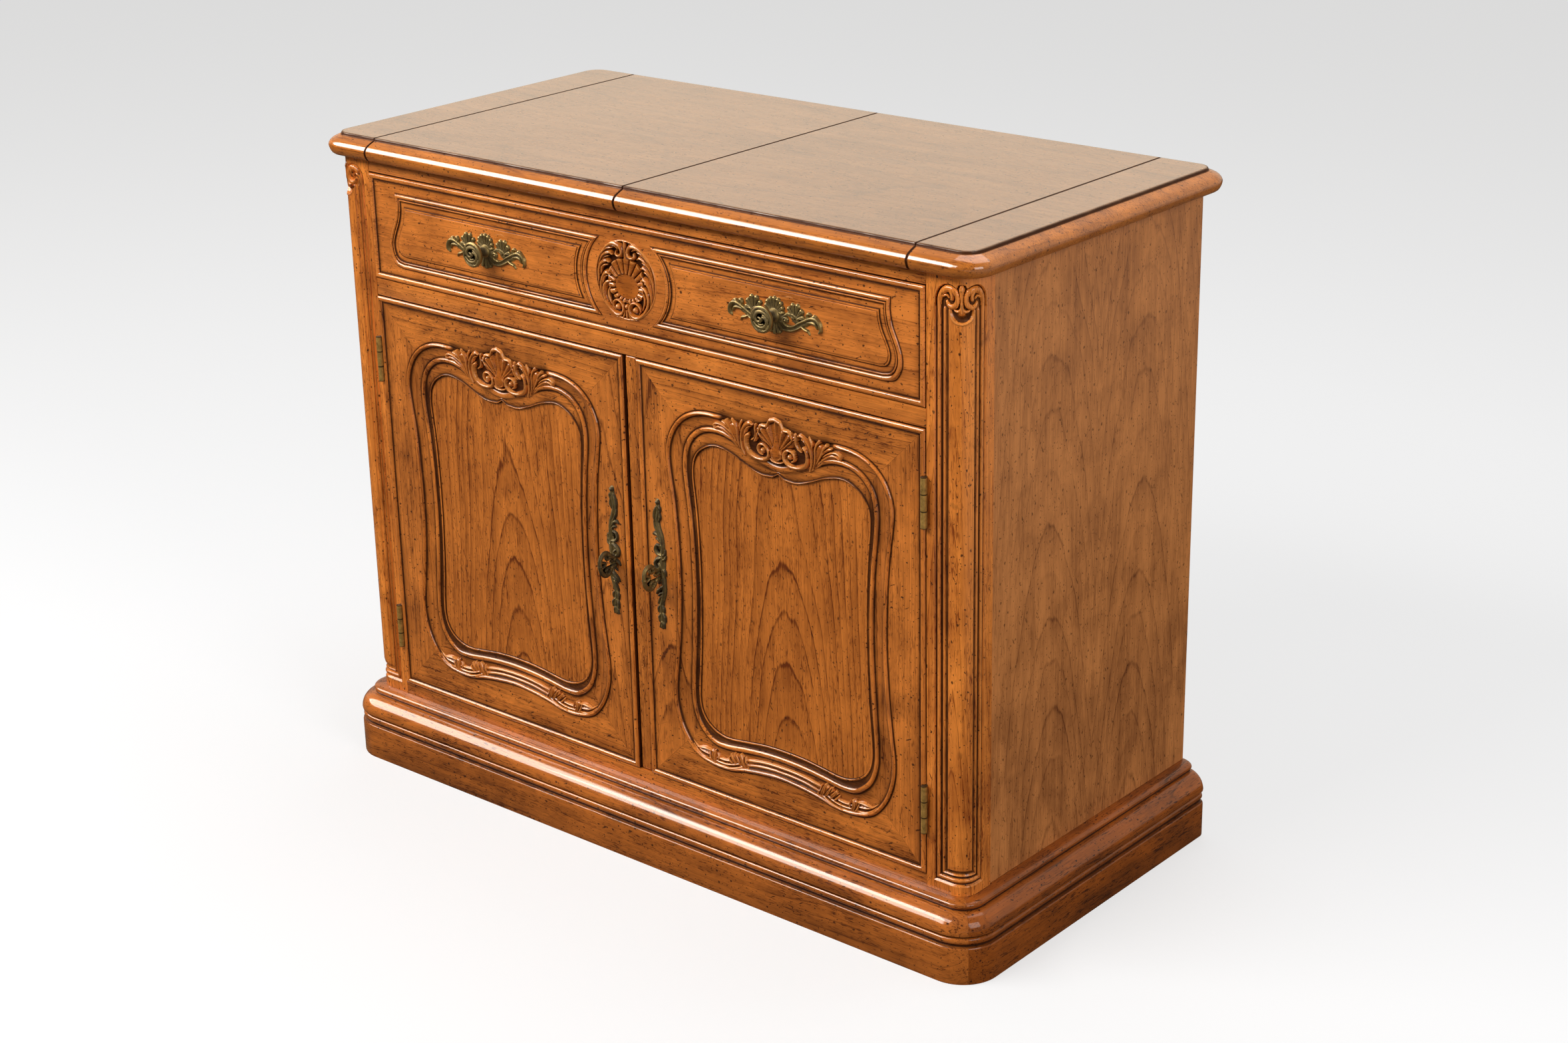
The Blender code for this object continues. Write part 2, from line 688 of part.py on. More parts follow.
board("drawer_back", (-between, between), (box_end - drawer_wall, box_end),
      (floor_top + seat_gap, box_high), inner_wood)

# Drawer knobs on cast plates
knob_plate_back = front - field_height - seat_gap
knob_plate_front = knob_plate_back - knob_plate
plate_pattern = [(0.0, 0.9), (0.12, 0.95), (0.22, 0.62), (0.32, 0.5), (0.42, 0.8), (0.54, 0.72),
              (0.60, 0.3), (0.72, 0.12), (0.82, 0.35), (1.0, 0.2), (0.97, -0.35), (0.84, -0.42),
              (0.70, -0.5), (0.54, -0.72), (0.32, -0.82), (0.14, -1.0), (0.0, -0.95)]
for name, side in sides:
    knob_x = side * knob_spacing / 2
    outline = plate_pattern + [(-a, b) for a, b in reversed(plate_pattern[1:-1])]
    outline = [(knob_x + a * knob_plate_half_width, front_middle + b * knob_plate_half_height)
               for a, b in outline]
    stack(f"{name}_knob_plate", along_y(outline, knob_plate_back, knob_plate_front), bronze)
    knob_face = front - knob_reach
    head_back = knob_face + knob_head
    turned = [(knob_neck_radius * 1.5, knob_plate_front - seat_gap),
              (knob_neck_radius * 1.4, knob_plate_front - seat_gap - 0.001),
              (knob_neck_radius, knob_plate_front - seat_gap - 0.0025),
              (knob_neck_radius, head_back + 0.001), (knob_radius * 0.75, head_back - 0.001),
              (knob_radius, head_back - 0.004), (knob_radius, knob_face + 0.003),
              (knob_radius * 0.8, knob_face)]
    loops = []
    for radius, y in turned:
        circle = arc(knob_x, front_middle, radius, 0.0, 2 * pi, 16)[:-1]
        loops.append([(x, y, z) for x, z in circle])
    stack(f"{name}_knob", loops, bronze, smooth=True)


# Origins: a moving piece has its origin on the line that it turns about or slides on
def set_origin(piece, point):
    piece.data.transform(Matrix.Translation([-c for c in point]))
    piece.location = point


moving = []
for name, side in sides:
    flip_line = (side * seam, 0.0, overall_height + flip_axis_lift)
    door_line = (side * hinge_line_x, hinge_line_y, door_centre_height)
    for piece in bpy.data.objects:
        if piece.name.startswith((f"{name}_leaf", f"cut_{name}_leaf")):
            moving.append((piece, flip_line))
        if piece.name.startswith(f"{name}_flip_hinge") and piece.name.endswith("moving"):
            moving.append((piece, flip_line))
        if piece.name.startswith(f"{name}_door") and not piece.name.endswith("fixed"):
            moving.append((piece, door_line))
for piece in bpy.data.objects:
    if piece.name.startswith("drawer_"):
        moving.append((piece, (0.0, front, front_middle)))
for piece, point in moving:
    set_origin(piece, point)
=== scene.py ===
from functools import partial
from math import cos, pi, radians, sin

import bmesh
import bpy
import numpy as np
from mathutils import Matrix, Vector


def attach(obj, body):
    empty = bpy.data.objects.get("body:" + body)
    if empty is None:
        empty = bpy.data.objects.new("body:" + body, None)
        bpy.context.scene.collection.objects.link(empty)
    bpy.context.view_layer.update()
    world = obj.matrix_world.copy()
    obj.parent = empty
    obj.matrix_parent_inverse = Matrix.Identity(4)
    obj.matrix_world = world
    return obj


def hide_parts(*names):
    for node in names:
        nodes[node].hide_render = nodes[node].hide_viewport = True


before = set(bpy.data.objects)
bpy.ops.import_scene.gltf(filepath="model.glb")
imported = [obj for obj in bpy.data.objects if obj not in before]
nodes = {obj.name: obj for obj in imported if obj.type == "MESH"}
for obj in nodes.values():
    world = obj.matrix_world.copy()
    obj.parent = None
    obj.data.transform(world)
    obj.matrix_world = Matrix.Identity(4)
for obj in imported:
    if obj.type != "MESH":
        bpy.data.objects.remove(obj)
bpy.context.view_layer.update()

# The room: a plain pale floor, and a camera a little above and to the right of the
# cabinet's front. Large soft lamps stand where a studio's would.
FLOOR_SIZE = 24.0
CAMERA_PLACE = (1.90773, -2.19572, 1.44872)
CAMERA_TURN = (radians(69.0873), 0.0, radians(40.4692))
CAMERA_ROLL = radians(-1.2053)
LENS = 62.015
SENSOR = 36.0
PAINTED_HIGHLIGHT_SHINE = 15.0
# Each lamp's place, the point it is turned to, its width, height, power and tint.
LAMPS = {"front_lamp": ((-1.3, -2.3, 2.7), (-0.9, 0.0, 0.4), 3.0, 1.0, 100.0, (1.0, 0.96, 0.90)),
         "right_lamp": ((3.0, -0.9, 1.7), (0.3, 0.0, 0.35), 1.4, 1.6, 36.0, (1.0, 0.96, 0.90)),
         "high_lamp": ((0.2, 0.9, 3.0), (0.0, 0.0, 0.5), 2.2, 1.6, 26.0, (1.0, 0.99, 0.97))}


def node(tree, kind, feeds=None, **settings):
    """Adds a shader node, sets its options, and feeds its inputs with values or with other sockets."""
    made = tree.nodes.new(("Node" if kind in ("GroupInput", "GroupOutput") else "ShaderNode") + kind)
    for key, value in settings.items():
        setattr(made, key, value)
    for key, value in (feeds or {}).items():
        if isinstance(value, bpy.types.NodeSocket):
            tree.links.new(value, made.inputs[key])
        else:
            made.inputs[key].default_value = value
    return made


def mixed(tree, factor, first, second):
    """The colour socket that mixes two colours, or two colour sockets, by a factor."""
    return node(tree, "Mix", {0: factor, 6: first, 7: second}, data_type="RGBA").outputs[2]


def worked_out(tree, operation, first, second=0.0, third=0.0, clamp=False):
    """The socket of one step of arithmetic on numbers or sockets."""
    return node(tree, "Math", {0: first, 1: second, 2: third}, operation=operation,
                use_clamp=clamp).outputs["Value"]


def ranged(tree, value, low, high, to_low=0.0, to_high=1.0, kind="LINEAR"):
    """The socket of how far a value has gone from low to high, between 0 and 1 or between two other ends."""
    return node(tree, "MapRange", {"Value": value, "From Min": low, "From Max": high, "To Min": to_low,
                                   "To Max": to_high}, interpolation_type=kind).outputs["Result"]


def noise(tree, place, scale, detail, roughness=0.5, distortion=0.0):
    return node(tree, "TexNoise", {"Vector": place, "Scale": scale, "Detail": detail, "Roughness": roughness,
                                   "Distortion": distortion}).outputs["Fac"]


def own_place(tree):
    """The socket of where a point lies on the object."""
    return node(tree, "TexCoord").outputs["Object"]


def split(tree, vector):
    """The sockets X, Y and Z of a vector."""
    return node(tree, "SeparateXYZ", {"Vector": vector}).outputs


def empty_material(name):
    material = bpy.data.materials.new(name)
    material.use_nodes = True
    material.node_tree.nodes.clear()
    return material, material.node_tree


def principled(tree, feeds, **constants):
    """A material's shader and its output. Each constant is named as its socket, with _ for a space."""
    shader = node(tree, "BsdfPrincipled", feeds, name="shader")
    for key, value in constants.items():
        shader.inputs[key.replace("_", " ")].default_value = value
    node(tree, "OutputMaterial", {"Surface": shader.outputs["BSDF"]})


def colour(red, green, blue):
    """A colour as it is seen, from 0 to 255, turned into the light values that shaders use."""
    seen = [channel / 255 for channel in (red, green, blue)]
    return (*[c / 12.92 if c < 0.04045 else ((c + 0.055) / 1.055) ** 2.4 for c in seen], 1.0)


bpy.ops.object.select_all(action="DESELECT")
bpy.ops.mesh.primitive_plane_add(size=FLOOR_SIZE, location=(0.0, 0.0, 0.0))
floor = bpy.context.object
floor.name = "floor"
paint, tree = empty_material("floor_paint")
rays = node(tree, "LightPath").outputs
mottle = node(tree, "TexNoise", {"Scale": 5.0, "Detail": 4.0})
pale = mixed(tree, mottle.outputs["Fac"], colour(164, 167, 172), colour(169, 172, 177))
# To bounced light the floor is a dark brown; to glossy rays it is painted a little lighter, a painted sheen
# on polished wood.
unseen = mixed(tree, rays["Is Glossy Ray"], colour(96, 85, 68), colour(114, 104, 88))
seen = mixed(tree, rays["Is Camera Ray"], unseen, pale)
# A painted reflection: to glossy rays alone the floor glows on the right, so polished wood shows a sheen from
# it there.
beside = ranged(tree, split(tree, own_place(tree))["X"], 0.9, 1.7)
painted_floor_reflection = mixed(tree, beside, colour(0, 0, 0), colour(200, 192, 180))
mirrored = mixed(tree, rays["Is Glossy Ray"], colour(0, 0, 0), painted_floor_reflection)
glow = mixed(tree, rays["Is Camera Ray"], mirrored, colour(202, 201, 199))
principled(tree, {"Base Color": seen, "Emission Color": glow}, Emission_Strength=1.0, Roughness=1.0,
           Specular_IOR_Level=0.0)
floor.data.materials.append(paint)

world = bpy.data.worlds.new("room_light")
bpy.context.scene.world = world
world.use_nodes = True
tree = world.node_tree
tree.nodes.clear()
rays = node(tree, "LightPath").outputs
heading = split(tree, node(tree, "TexCoord").outputs["Generated"])
behind = ranged(tree, heading["Y"], -0.1, 0.6)
mirrored = mixed(tree, behind, colour(64, 60, 54), colour(255, 242, 220))
# A painted highlight: a wide bright patch up to the left and in front, seen only by glossy rays, which shows
# as the shine on polished edges and gives no other light.
painted_highlight_patch = rays["Is Glossy Ray"]
for side, low, high in (("X", -0.22, -0.42), ("Y", -0.02, -0.16), ("Z", 0.31, 0.39), ("Z", 0.79, 0.71)):
    painted_highlight_patch = worked_out(tree, "MULTIPLY", painted_highlight_patch, ranged(tree, heading[side], low, high, kind="SMOOTHSTEP"))
mirrored = mixed(tree, painted_highlight_patch, mirrored, colour(255, 248, 236))
lit = mixed(tree, rays["Is Glossy Ray"], colour(136, 136, 138), mirrored)
backdrop = mixed(tree, rays["Is Camera Ray"], lit, colour(244, 244, 242))
shine = worked_out(tree, "MULTIPLY_ADD", painted_highlight_patch, PAINTED_HIGHLIGHT_SHINE, 1.0)
light = node(tree, "Background", {"Color": backdrop, "Strength": shine})
node(tree, "OutputWorld", {"Surface": light.outputs["Background"]})

for name, (place, aim, width, height, power, tint) in LAMPS.items():
    lamp = bpy.data.lights.new(name, "AREA")
    lamp.shape = "RECTANGLE"
    lamp.size, lamp.size_y = width, height
    lamp.energy = power
    lamp.color = tint
    stand = bpy.data.objects.new(name, lamp)
    stand.location = place
    stand.rotation_euler = (Vector(aim) - Vector(place)).to_track_quat("-Z", "Y").to_euler()
    bpy.context.scene.collection.objects.link(stand)

bpy.ops.object.camera_add(location=CAMERA_PLACE, rotation=CAMERA_TURN)
camera = bpy.context.object
camera.name = "camera"
camera.matrix_world = camera.matrix_world @ Matrix.Rotation(CAMERA_ROLL, 4, "Z")
camera.data.lens = LENS
camera.data.sensor_width = SENSOR
camera.data.sensor_fit = "HORIZONTAL"
bpy.context.scene.camera = camera
bpy.context.scene.view_settings.view_transform = "Standard"

# Base: moulded boards under the front and both sides, mitred in the rounded corners, with
# a plinth, a groove, a small bead, a large ovolo and a top bead. Solid stained hardwood.
FRONT = -0.208
CASE_HALF = 0.447
BASE_RETURN = 0.014
BASE_REAR = 0.213
BASE_TOP = 0.086
REAR_ROUND = 0.009
MITRE = 0.0001
PAST_TURN = 0.003


def new_group(name, takes, gives):
    """An empty node group. What it takes is given with values, or None for a place; it gives numbers
    or a Color."""
    tree = bpy.data.node_groups.new(name, "ShaderNodeTree")
    for key, value in takes.items():
        kind = "Vector" if value is None else "Float" if isinstance(value, float) else "Color"
        socket = tree.interface.new_socket(key, in_out="INPUT", socket_type=f"NodeSocket{kind}")
        if value is not None:
            socket.default_value = value
    for key in gives:
        kind = "Color" if key == "Color" else "Float"
        tree.interface.new_socket(key, in_out="OUTPUT", socket_type=f"NodeSocket{kind}")
    return tree, node(tree, "GroupInput").outputs


def figure_group():
    """The wood itself: growth rings cut by the board's face, fibres, pores and cloudy stain."""
    tree, given = new_group("wood_figure", {"Place": None, "Slope": 0.1, "Ring": 0.007, "Figure": 1.0,
                                            "Mottle": 1.0, "Pores": 1.0, "Light": colour(200, 128, 66),
                                            "Dark": colour(112, 58, 24)},
                            ("Color", "Height", "Matt"))
    maths = partial(worked_out, tree)
    span = partial(ranged, tree, kind="SMOOTHSTEP")

    def stretched(along, across, detail, roughness=0.5, distortion=0.0):
        scaled = node(tree, "VectorMath", {0: given["Place"], 1: (along, across, across)},
                      operation="MULTIPLY")
        return noise(tree, scaled.outputs["Vector"], 1.0, detail, roughness, distortion)

    def swung_about(value, amount):
        return maths("MULTIPLY_ADD", value, amount, -amount / 2)

    def swung(value, reach):
        return maths("MULTIPLY", maths("SUBTRACT", value, 0.5), maths("MULTIPLY", given["Ring"], reach))

    axes = split(tree, given["Place"])
    across = maths("ADD", axes["Y"], swung(stretched(3.0, 8.0, 1.0), 4.0))
    rise = maths("ADD", maths("MULTIPLY_ADD", axes["X"], given["Slope"], axes["Z"]),
                 swung(stretched(4.0, 9.0, 1.0), 2.6))
    radius = maths("SQRT", maths("ADD", maths("MULTIPLY", across, across), maths("MULTIPLY", rise, rise)))
    shiver = maths("ADD", swung(stretched(15.0, 70.0, 2.0), 0.42), swung(stretched(60.0, 420.0, 1.0), 0.09))
    rings = maths("DIVIDE", maths("ADD", radius, shiver), given["Ring"])
    season = maths("FRACT", rings)
    year = node(tree, "TexWhiteNoise", {"W": maths("FLOOR", rings)}, noise_dimensions="1D").outputs["Value"]
    late = maths("MULTIPLY", span(season, 0.10, 0.90), 0.30)
    edge = maths("MULTIPLY", span(season, 0.83, 0.925), 0.75)
    drop = span(season, 0.925, 1.0, 1.0, 0.0)
    broken = span(stretched(11.0, 60.0, 3.0), 0.30, 0.60, 0.45, 1.0)
    line = maths("MULTIPLY", maths("MULTIPLY", maths("ADD", late, edge), drop),
                 maths("MULTIPLY", maths("MULTIPLY_ADD", year, 0.7, 0.3), broken))
    fibre = stretched(14.0, 620.0, 3.0, 0.65)
    streak = stretched(3.0, 70.0, 4.0, 0.6)
    cloud = stretched(6.0, 13.0, 4.0, 0.62, 0.4)
    blot = stretched(17.0, 34.0, 3.0, 0.6, 0.8)
    flame = stretched(38.0, 22.0, 2.0, 0.5, 0.6)
    pore = maths("ADD", span(stretched(130.0, 1500.0, 1.0), 0.58, 0.70),
                 span(stretched(85.0, 640.0, 1.0), 0.57, 0.67))
    pore_zone = span(stretched(8.0, 110.0, 2.0), 0.36, 0.62, 0.15, 1.0)
    pores = maths("MULTIPLY", maths("MULTIPLY", pore, pore_zone), given["Pores"])
    tone = maths("MULTIPLY_ADD", line, maths("MULTIPLY", given["Figure"], 0.46), 0.27)
    patchy = maths("ADD", swung_about(cloud, 1.25), maths("ADD", swung_about(blot, 0.95),
                                                          swung_about(flame, 0.35)))
    tone = maths("ADD", tone, maths("ADD", swung_about(fibre, 0.80), swung_about(streak, 0.65)))
    tone = maths("MULTIPLY_ADD", patchy, given["Mottle"], tone)
    tone = maths("MULTIPLY_ADD", pores, 0.60, tone, clamp=True)
    height = maths("SUBTRACT", maths("MULTIPLY_ADD", line, 0.12, fibre), maths("MULTIPLY", pores, 0.9))
    matt = maths("MULTIPLY_ADD", pores, 0.20, maths("MULTIPLY", cloud, 0.12))
    node(tree, "GroupOutput", {"Color": mixed(tree, tone, given["Light"], given["Dark"]), "Height": height,
                               "Matt": matt})
    return tree


def wear_and_shade_group():
    """The antiqued finish: fly specks, small dents and scratches, dark glaze and painted shade in hollows,
    and edges rubbed bright, partly as painted highlights.
    """
    tree, given = new_group("finish_with_painted_light", {"Color": colour(160, 90, 40), "Place": None, "Glaze": 0.0,
                                                "Specks": 1.0}, ("Color", "Height", "Matt", "Glaze_Shade_Mask"))
    maths = partial(worked_out, tree)
    span = partial(ranged, tree)
    cloudy = partial(noise, tree, given["Place"])
    jolt = node(tree, "TexNoise", {"Vector": given["Place"], "Scale": 480.0, "Detail": 1.0})
    ragged = node(tree, "VectorMath", {0: jolt.outputs["Color"], 1: (0.0022, 0.0022, 0.0022),
                                       2: given["Place"]},
                  operation="MULTIPLY_ADD")

    def specks(scale, share, size, long=0.75, turn=0.0):
        """Specks of up to the given size, in that share of the cells of a fine net."""
        turned = node(tree, "Mapping", {"Vector": ragged.outputs["Vector"], "Rotation": (0.0, 0.0, turn)})
        drawn = node(tree, "VectorMath", {0: turned.outputs["Vector"], 1: (long, 1.0, 1.0)},
                     operation="MULTIPLY")
        dots = node(tree, "TexVoronoi", {"Vector": drawn.outputs["Vector"], "Scale": scale,
                                         "Randomness": 1.0},
                    feature="F1").outputs
        chance = node(tree, "SeparateColor", {"Color": dots["Color"]}).outputs
        reach = maths("MULTIPLY_ADD", chance["Green"], size, size * 0.35)
        near = span(dots["Distance"], maths("MULTIPLY", reach, 0.6), reach, 1.0, 0.0)
        return maths("MULTIPLY", near, maths("LESS_THAN", chance["Red"], share))

    fine = maths("MAXIMUM", specks(280.0, 0.9, 0.20), specks(150.0, 0.7, 0.12, 0.2, 0.5))
    coarse = maths("MAXIMUM", specks(150.0, 0.75, 0.18), specks(66.0, 0.5, 0.09))
    hair = span(maths("ABSOLUTE", maths("SUBTRACT", cloudy(26.0, 2.0, distortion=1.2), 0.5)), 0.0, 0.0045,
                1.0, 0.0)
    scratch = maths("MULTIPLY", hair, span(cloudy(17.0, 1.0), 0.66, 0.70))
    smudge = span(cloudy(60.0, 3.0, distortion=0.8), 0.68, 0.80, 0.0, 0.55)
    marks = maths("MAXIMUM", maths("MAXIMUM", fine, coarse), scratch)
    marks = maths("MULTIPLY", maths("MAXIMUM", marks, smudge), given["Specks"], clamp=True)
    uneven = maths("MULTIPLY", given["Glaze"], maths("MULTIPLY_ADD", cloudy(38.0, 3.0), 0.9, 0.55))
    hollow = span(uneven, 0.04, 0.70, kind="SMOOTHSTEP")
    rubbed_and_highlit = span(uneven, -0.15, -0.8, 0.0, 0.8)
    marked = mixed(tree, maths("MULTIPLY", marks, 0.88), given["Color"], colour(46, 19, 6))
    glazed_and_shaded = mixed(tree, maths("MULTIPLY", hollow, 0.93), marked, colour(44, 18, 6))
    rubbed_and_highlit_colour = mixed(tree, rubbed_and_highlit, glazed_and_shaded, colour(230, 150, 76))
    height = maths("MULTIPLY", maths("MAXIMUM", coarse, scratch), -1.0)
    matt = maths("MULTIPLY_ADD", hollow, 0.16, maths("MULTIPLY", marks, 0.2))
    node(tree, "GroupOutput", {"Color": rubbed_and_highlit_colour, "Height": height, "Matt": matt, "Glaze_Shade_Mask": hollow})
    return tree


wood_figure = figure_group()
finish_with_painted_light = wear_and_shade_group()
LIGHT_WOOD = colour(225, 133, 54)
DARK_WOOD = colour(96, 41, 7)
GRAIN_X_FRONT = (radians(90), 0.0, 0.0)
GRAIN_Z_FRONT = (radians(90), 0.0, radians(90))
GRAIN_Z_SIDE = (0.0, radians(90), 0.0)
GRAIN_X_TOP = (0.0, 0.0, 0.0)
GRAIN_Y_TOP = (0.0, 0.0, radians(-90))


def grown(tree, name, place, slope, ring, figure, light, dark, mottle, pores):
    """The wood of one board, by the place of its points in the log."""
    return node(tree, "Group", node_tree=wood_figure, name=name, feeds={
        "Place": place, "Slope": slope, "Ring": ring, "Figure": figure, "Light": light, "Dark": dark,
        "Mottle": mottle, "Pores": pores})


def finished_wood(name, turn, shift, slope=0.03, ring=0.006, figure=1.0, light=LIGHT_WOOD, dark=DARK_WOOD,
                  specks=1.0, rough=0.34, coat=1.0, mottle=1.0, pores=1.0):
    """Stained, antiqued and lacquered wood with painted shade and highlights, its grain turned to the board
    and shifted to the board's log.
    """
    material, tree = empty_material(name)
    board = node(tree, "Mapping", {"Vector": own_place(tree), "Rotation": turn, "Location": shift},
                 name="board")
    place = board.outputs["Vector"]
    wood = grown(tree, "wood", place, slope, ring, figure, light, dark, mottle, pores).outputs
    hollows = node(tree, "Attribute", attribute_name="glaze", name="hollows")
    worn_and_shaded = node(tree, "Group", node_tree=finish_with_painted_light, name="wear", feeds={
        "Color": wood["Color"], "Place": place, "Glaze": hollows.outputs["Fac"], "Specks": specks}).outputs
    relief = worked_out(tree, "MULTIPLY_ADD", worn_and_shaded["Height"], 3.0, wood["Height"])
    bump = node(tree, "Bump", {"Height": relief, "Strength": 0.35, "Distance": 0.00014})
    matt = worked_out(tree, "ADD", worked_out(tree, "ADD", wood["Matt"], worn_and_shaded["Matt"]), rough, clamp=True)
    # Painted shade: the lacquer is left off where glaze and painted shade lie, so the hollows show no
    # reflection.
    lacquer = worked_out(tree, "MULTIPLY_ADD", worn_and_shaded["Glaze_Shade_Mask"], -coat, coat)
    principled(tree, {"Base Color": worn_and_shaded["Color"], "Roughness": matt, "Normal": bump.outputs["Normal"],
                      "Coat Weight": lacquer},
               Specular_IOR_Level=0.12, Coat_Roughness=0.05, Coat_IOR=1.45)
    return material


def new_line(name, points):
    """A closed line of edges through the given points, ready to be pulled out in edit mode."""
    bpy.ops.object.select_all(action="DESELECT")
    bpy.ops.mesh.primitive_circle_add(vertices=len(points), radius=0.1, fill_type="NGON")
    piece = bpy.context.object
    piece.name = piece.data.name = name
    for vertex, point in zip(piece.data.vertices, points):
        vertex.co = point
    bpy.ops.object.mode_set(mode="EDIT")
    mesh_edit = bmesh.from_edit_mesh(piece.data)
    order = mesh_edit.verts.layers.int.new("order")
    for i, vertex in enumerate(mesh_edit.verts):
        vertex[order] = i
    bpy.ops.mesh.select_all(action="SELECT")
    return piece


def turned_outward(merge=None):
    """Merges points that lie together, turns the faces of the piece in edit mode outward, and leaves
    edit mode."""
    bpy.ops.mesh.select_all(action="SELECT")
    if merge:
        bpy.ops.mesh.remove_doubles(threshold=merge)
        bpy.ops.mesh.select_all(action="SELECT")
    bpy.ops.mesh.normals_make_consistent(inside=False)
    bpy.ops.object.mode_set(mode="OBJECT")


def pulled(name, loops, ring=False, glaze=None):
    """A solid pulled out from line to line. A ring's last line joins its first. Glaze with painted shade is
    given line by line."""
    piece = new_line(name, loops[0])
    if ring:
        bpy.ops.mesh.delete(type="ONLY_FACE")
        bpy.ops.mesh.select_all(action="SELECT")
        loops = loops + [loops[0]]
    if glaze:
        bmesh.from_edit_mesh(piece.data).verts.layers.float.new("glaze")
        glaze = [np.broadcast_to(shade, len(loops[0])) for shade in (*glaze, glaze[0])]
    for level, loop in enumerate(loops[1:], 1):
        if ring:
            bpy.ops.mesh.extrude_edges_move()
        else:
            bpy.ops.mesh.extrude_region_move()
        mesh_edit = bmesh.from_edit_mesh(piece.data)
        order = mesh_edit.verts.layers.int["order"]
        marks = mesh_edit.verts.layers.float.get("glaze")
        for vertex in mesh_edit.verts:
            if vertex.select:
                vertex.co = loop[vertex[order]]
                if marks:
                    vertex[marks] = glaze[level][vertex[order]]
        bmesh.update_edit_mesh(piece.data)
    turned_outward(merge=1e-6)
    return piece


def choose(*pieces):
    """Selects these pieces alone. The first is the active one, into which the others can be joined."""
    bpy.ops.object.select_all(action="DESELECT")
    for piece in pieces:
        piece.select_set(True)
    bpy.context.view_layer.objects.active = pieces[0]


def finish_piece(piece, body, material, stands_for=None, angle=35.0):
    """Smooths a piece's faces up to a corner's angle, gives it its finish, ties it to its body, and hides
    the imported nodes it stands for."""
    choose(piece)
    bpy.ops.object.shade_smooth_by_angle(angle=radians(angle))
    piece.data.materials.clear()
    piece.data.materials.append(material)
    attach(piece, body)
    if stands_for:
        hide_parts(*stands_for)


def turn_round(centre_x, centre_y, radius, start, end, steps):
    """Points on an arc from one angle to another, or on a whole circle."""
    turns = [start + (end - start) * i / steps for i in range(steps + 1)]
    return [(centre_x + radius * cos(t), centre_y + radius * sin(t)) for t in turns]


# The moulding from the floor up: how far it stands out from the case, and its height.
base_profile = [(0.0290, 0.0), (0.0294, 0.0012), (0.0294, 0.0405), (0.0291, 0.0416), (0.0284, 0.0424),
                (0.0262, 0.0429), (0.0254, 0.0436), (0.0252, 0.0448), (0.0256, 0.0456)]
for t in np.linspace(0.25, pi - 0.25, 9):
    base_profile.append((0.0256 + 0.0026 * sin(t), 0.0494 - 0.0036 * cos(t)))
base_profile += [(0.0253, 0.0535), (0.0256, 0.0545), (0.0272, 0.0552), (0.0289, 0.0560)]
for t in np.linspace(0.06, pi / 2 - 0.05, 14):
    base_profile.append((0.0110 + 0.0184 * cos(t), 0.0572 + 0.0196 * sin(t)))
base_profile += [(0.0112, 0.0772), (0.0106, 0.0779)]
for t in np.linspace(0.3, pi - 0.35, 9):
    base_profile.append((0.0098 + 0.0032 * sin(t), 0.0815 - 0.0034 * cos(t)))
base_profile += [(0.0098, 0.0852), (0.0082, 0.0857), (0.0070, BASE_TOP)]
# Glaze and painted shade lie thick in the grooves, and the plinth is darkened a little.
base_shades = [0.0] * len(base_profile)
for low, high, shade in ((0.0, 0.042, 0.12), (0.0422, 0.0434, 0.4), (0.0434, 0.0450, 0.9),
                         (0.0450, 0.0460, 0.3), (0.0530, 0.0548, 0.85), (0.0770, 0.0781, 0.8),
                         (0.0855, 0.0865, 0.12)):
    for i, (proud, height) in enumerate(base_profile):
        if low <= height < high:
            base_shades[i] = shade
corner_x = CASE_HALF - BASE_RETURN
corner_y = FRONT + BASE_RETURN
front_loops, side_loops = [], {-1: [], 1: []}
for proud, height in base_profile:
    half = turn_round(corner_x, corner_y, BASE_RETURN + proud, -pi / 4 - 0.002, -pi / 2, 8)
    half.append((corner_x - PAST_TURN, corner_y - BASE_RETURN - proud))
    plan = [(corner_x - MITRE, corner_y)] + half + [(-x, y) for x, y in reversed(half)]
    plan.append((-corner_x + MITRE, corner_y))
    front_loops.append([(x, y, height) for x, y in plan])
    edge = CASE_HALF + proud
    plan = [(corner_x, corner_y + MITRE)]
    plan += turn_round(corner_x, corner_y, BASE_RETURN + proud, -pi / 4 + 0.002, 0.0, 8)
    plan += [(edge, corner_y + PAST_TURN), (edge, BASE_REAR - REAR_ROUND - PAST_TURN)]
    plan += turn_round(edge - REAR_ROUND, BASE_REAR - REAR_ROUND, REAR_ROUND, 0.0, pi / 2, 6)
    plan.append((corner_x, BASE_REAR))
    for side in (-1, 1):
        side_loops[side].append([(side * x, y, height) for x, y in plan])
base_front = pulled("base_front_moulding", front_loops, glaze=base_shades)
finish_piece(base_front, "case", finished_wood("base_front_wood", GRAIN_X_FRONT, (0.30, 0.12, 0.30),
                                               slope=0.05, ring=0.009, light=colour(204, 116, 46),
                                               dark=colour(90, 41, 12), coat=0.85), ["base_front"])
side_grain = finished_wood("base_side_wood", GRAIN_Y_TOP, (0.1, 0.31, 0.05), slope=0.05, ring=0.008,
                           light=colour(170, 89, 27), dark=colour(72, 31, 8), coat=0.6)
for name, side in (("left", -1), ("right", 1)):
    base_side = pulled(f"base_{name}_moulding", side_loops[side], glaze=base_shades)
    finish_piece(base_side, "case", side_grain, [f"base_{name}"])

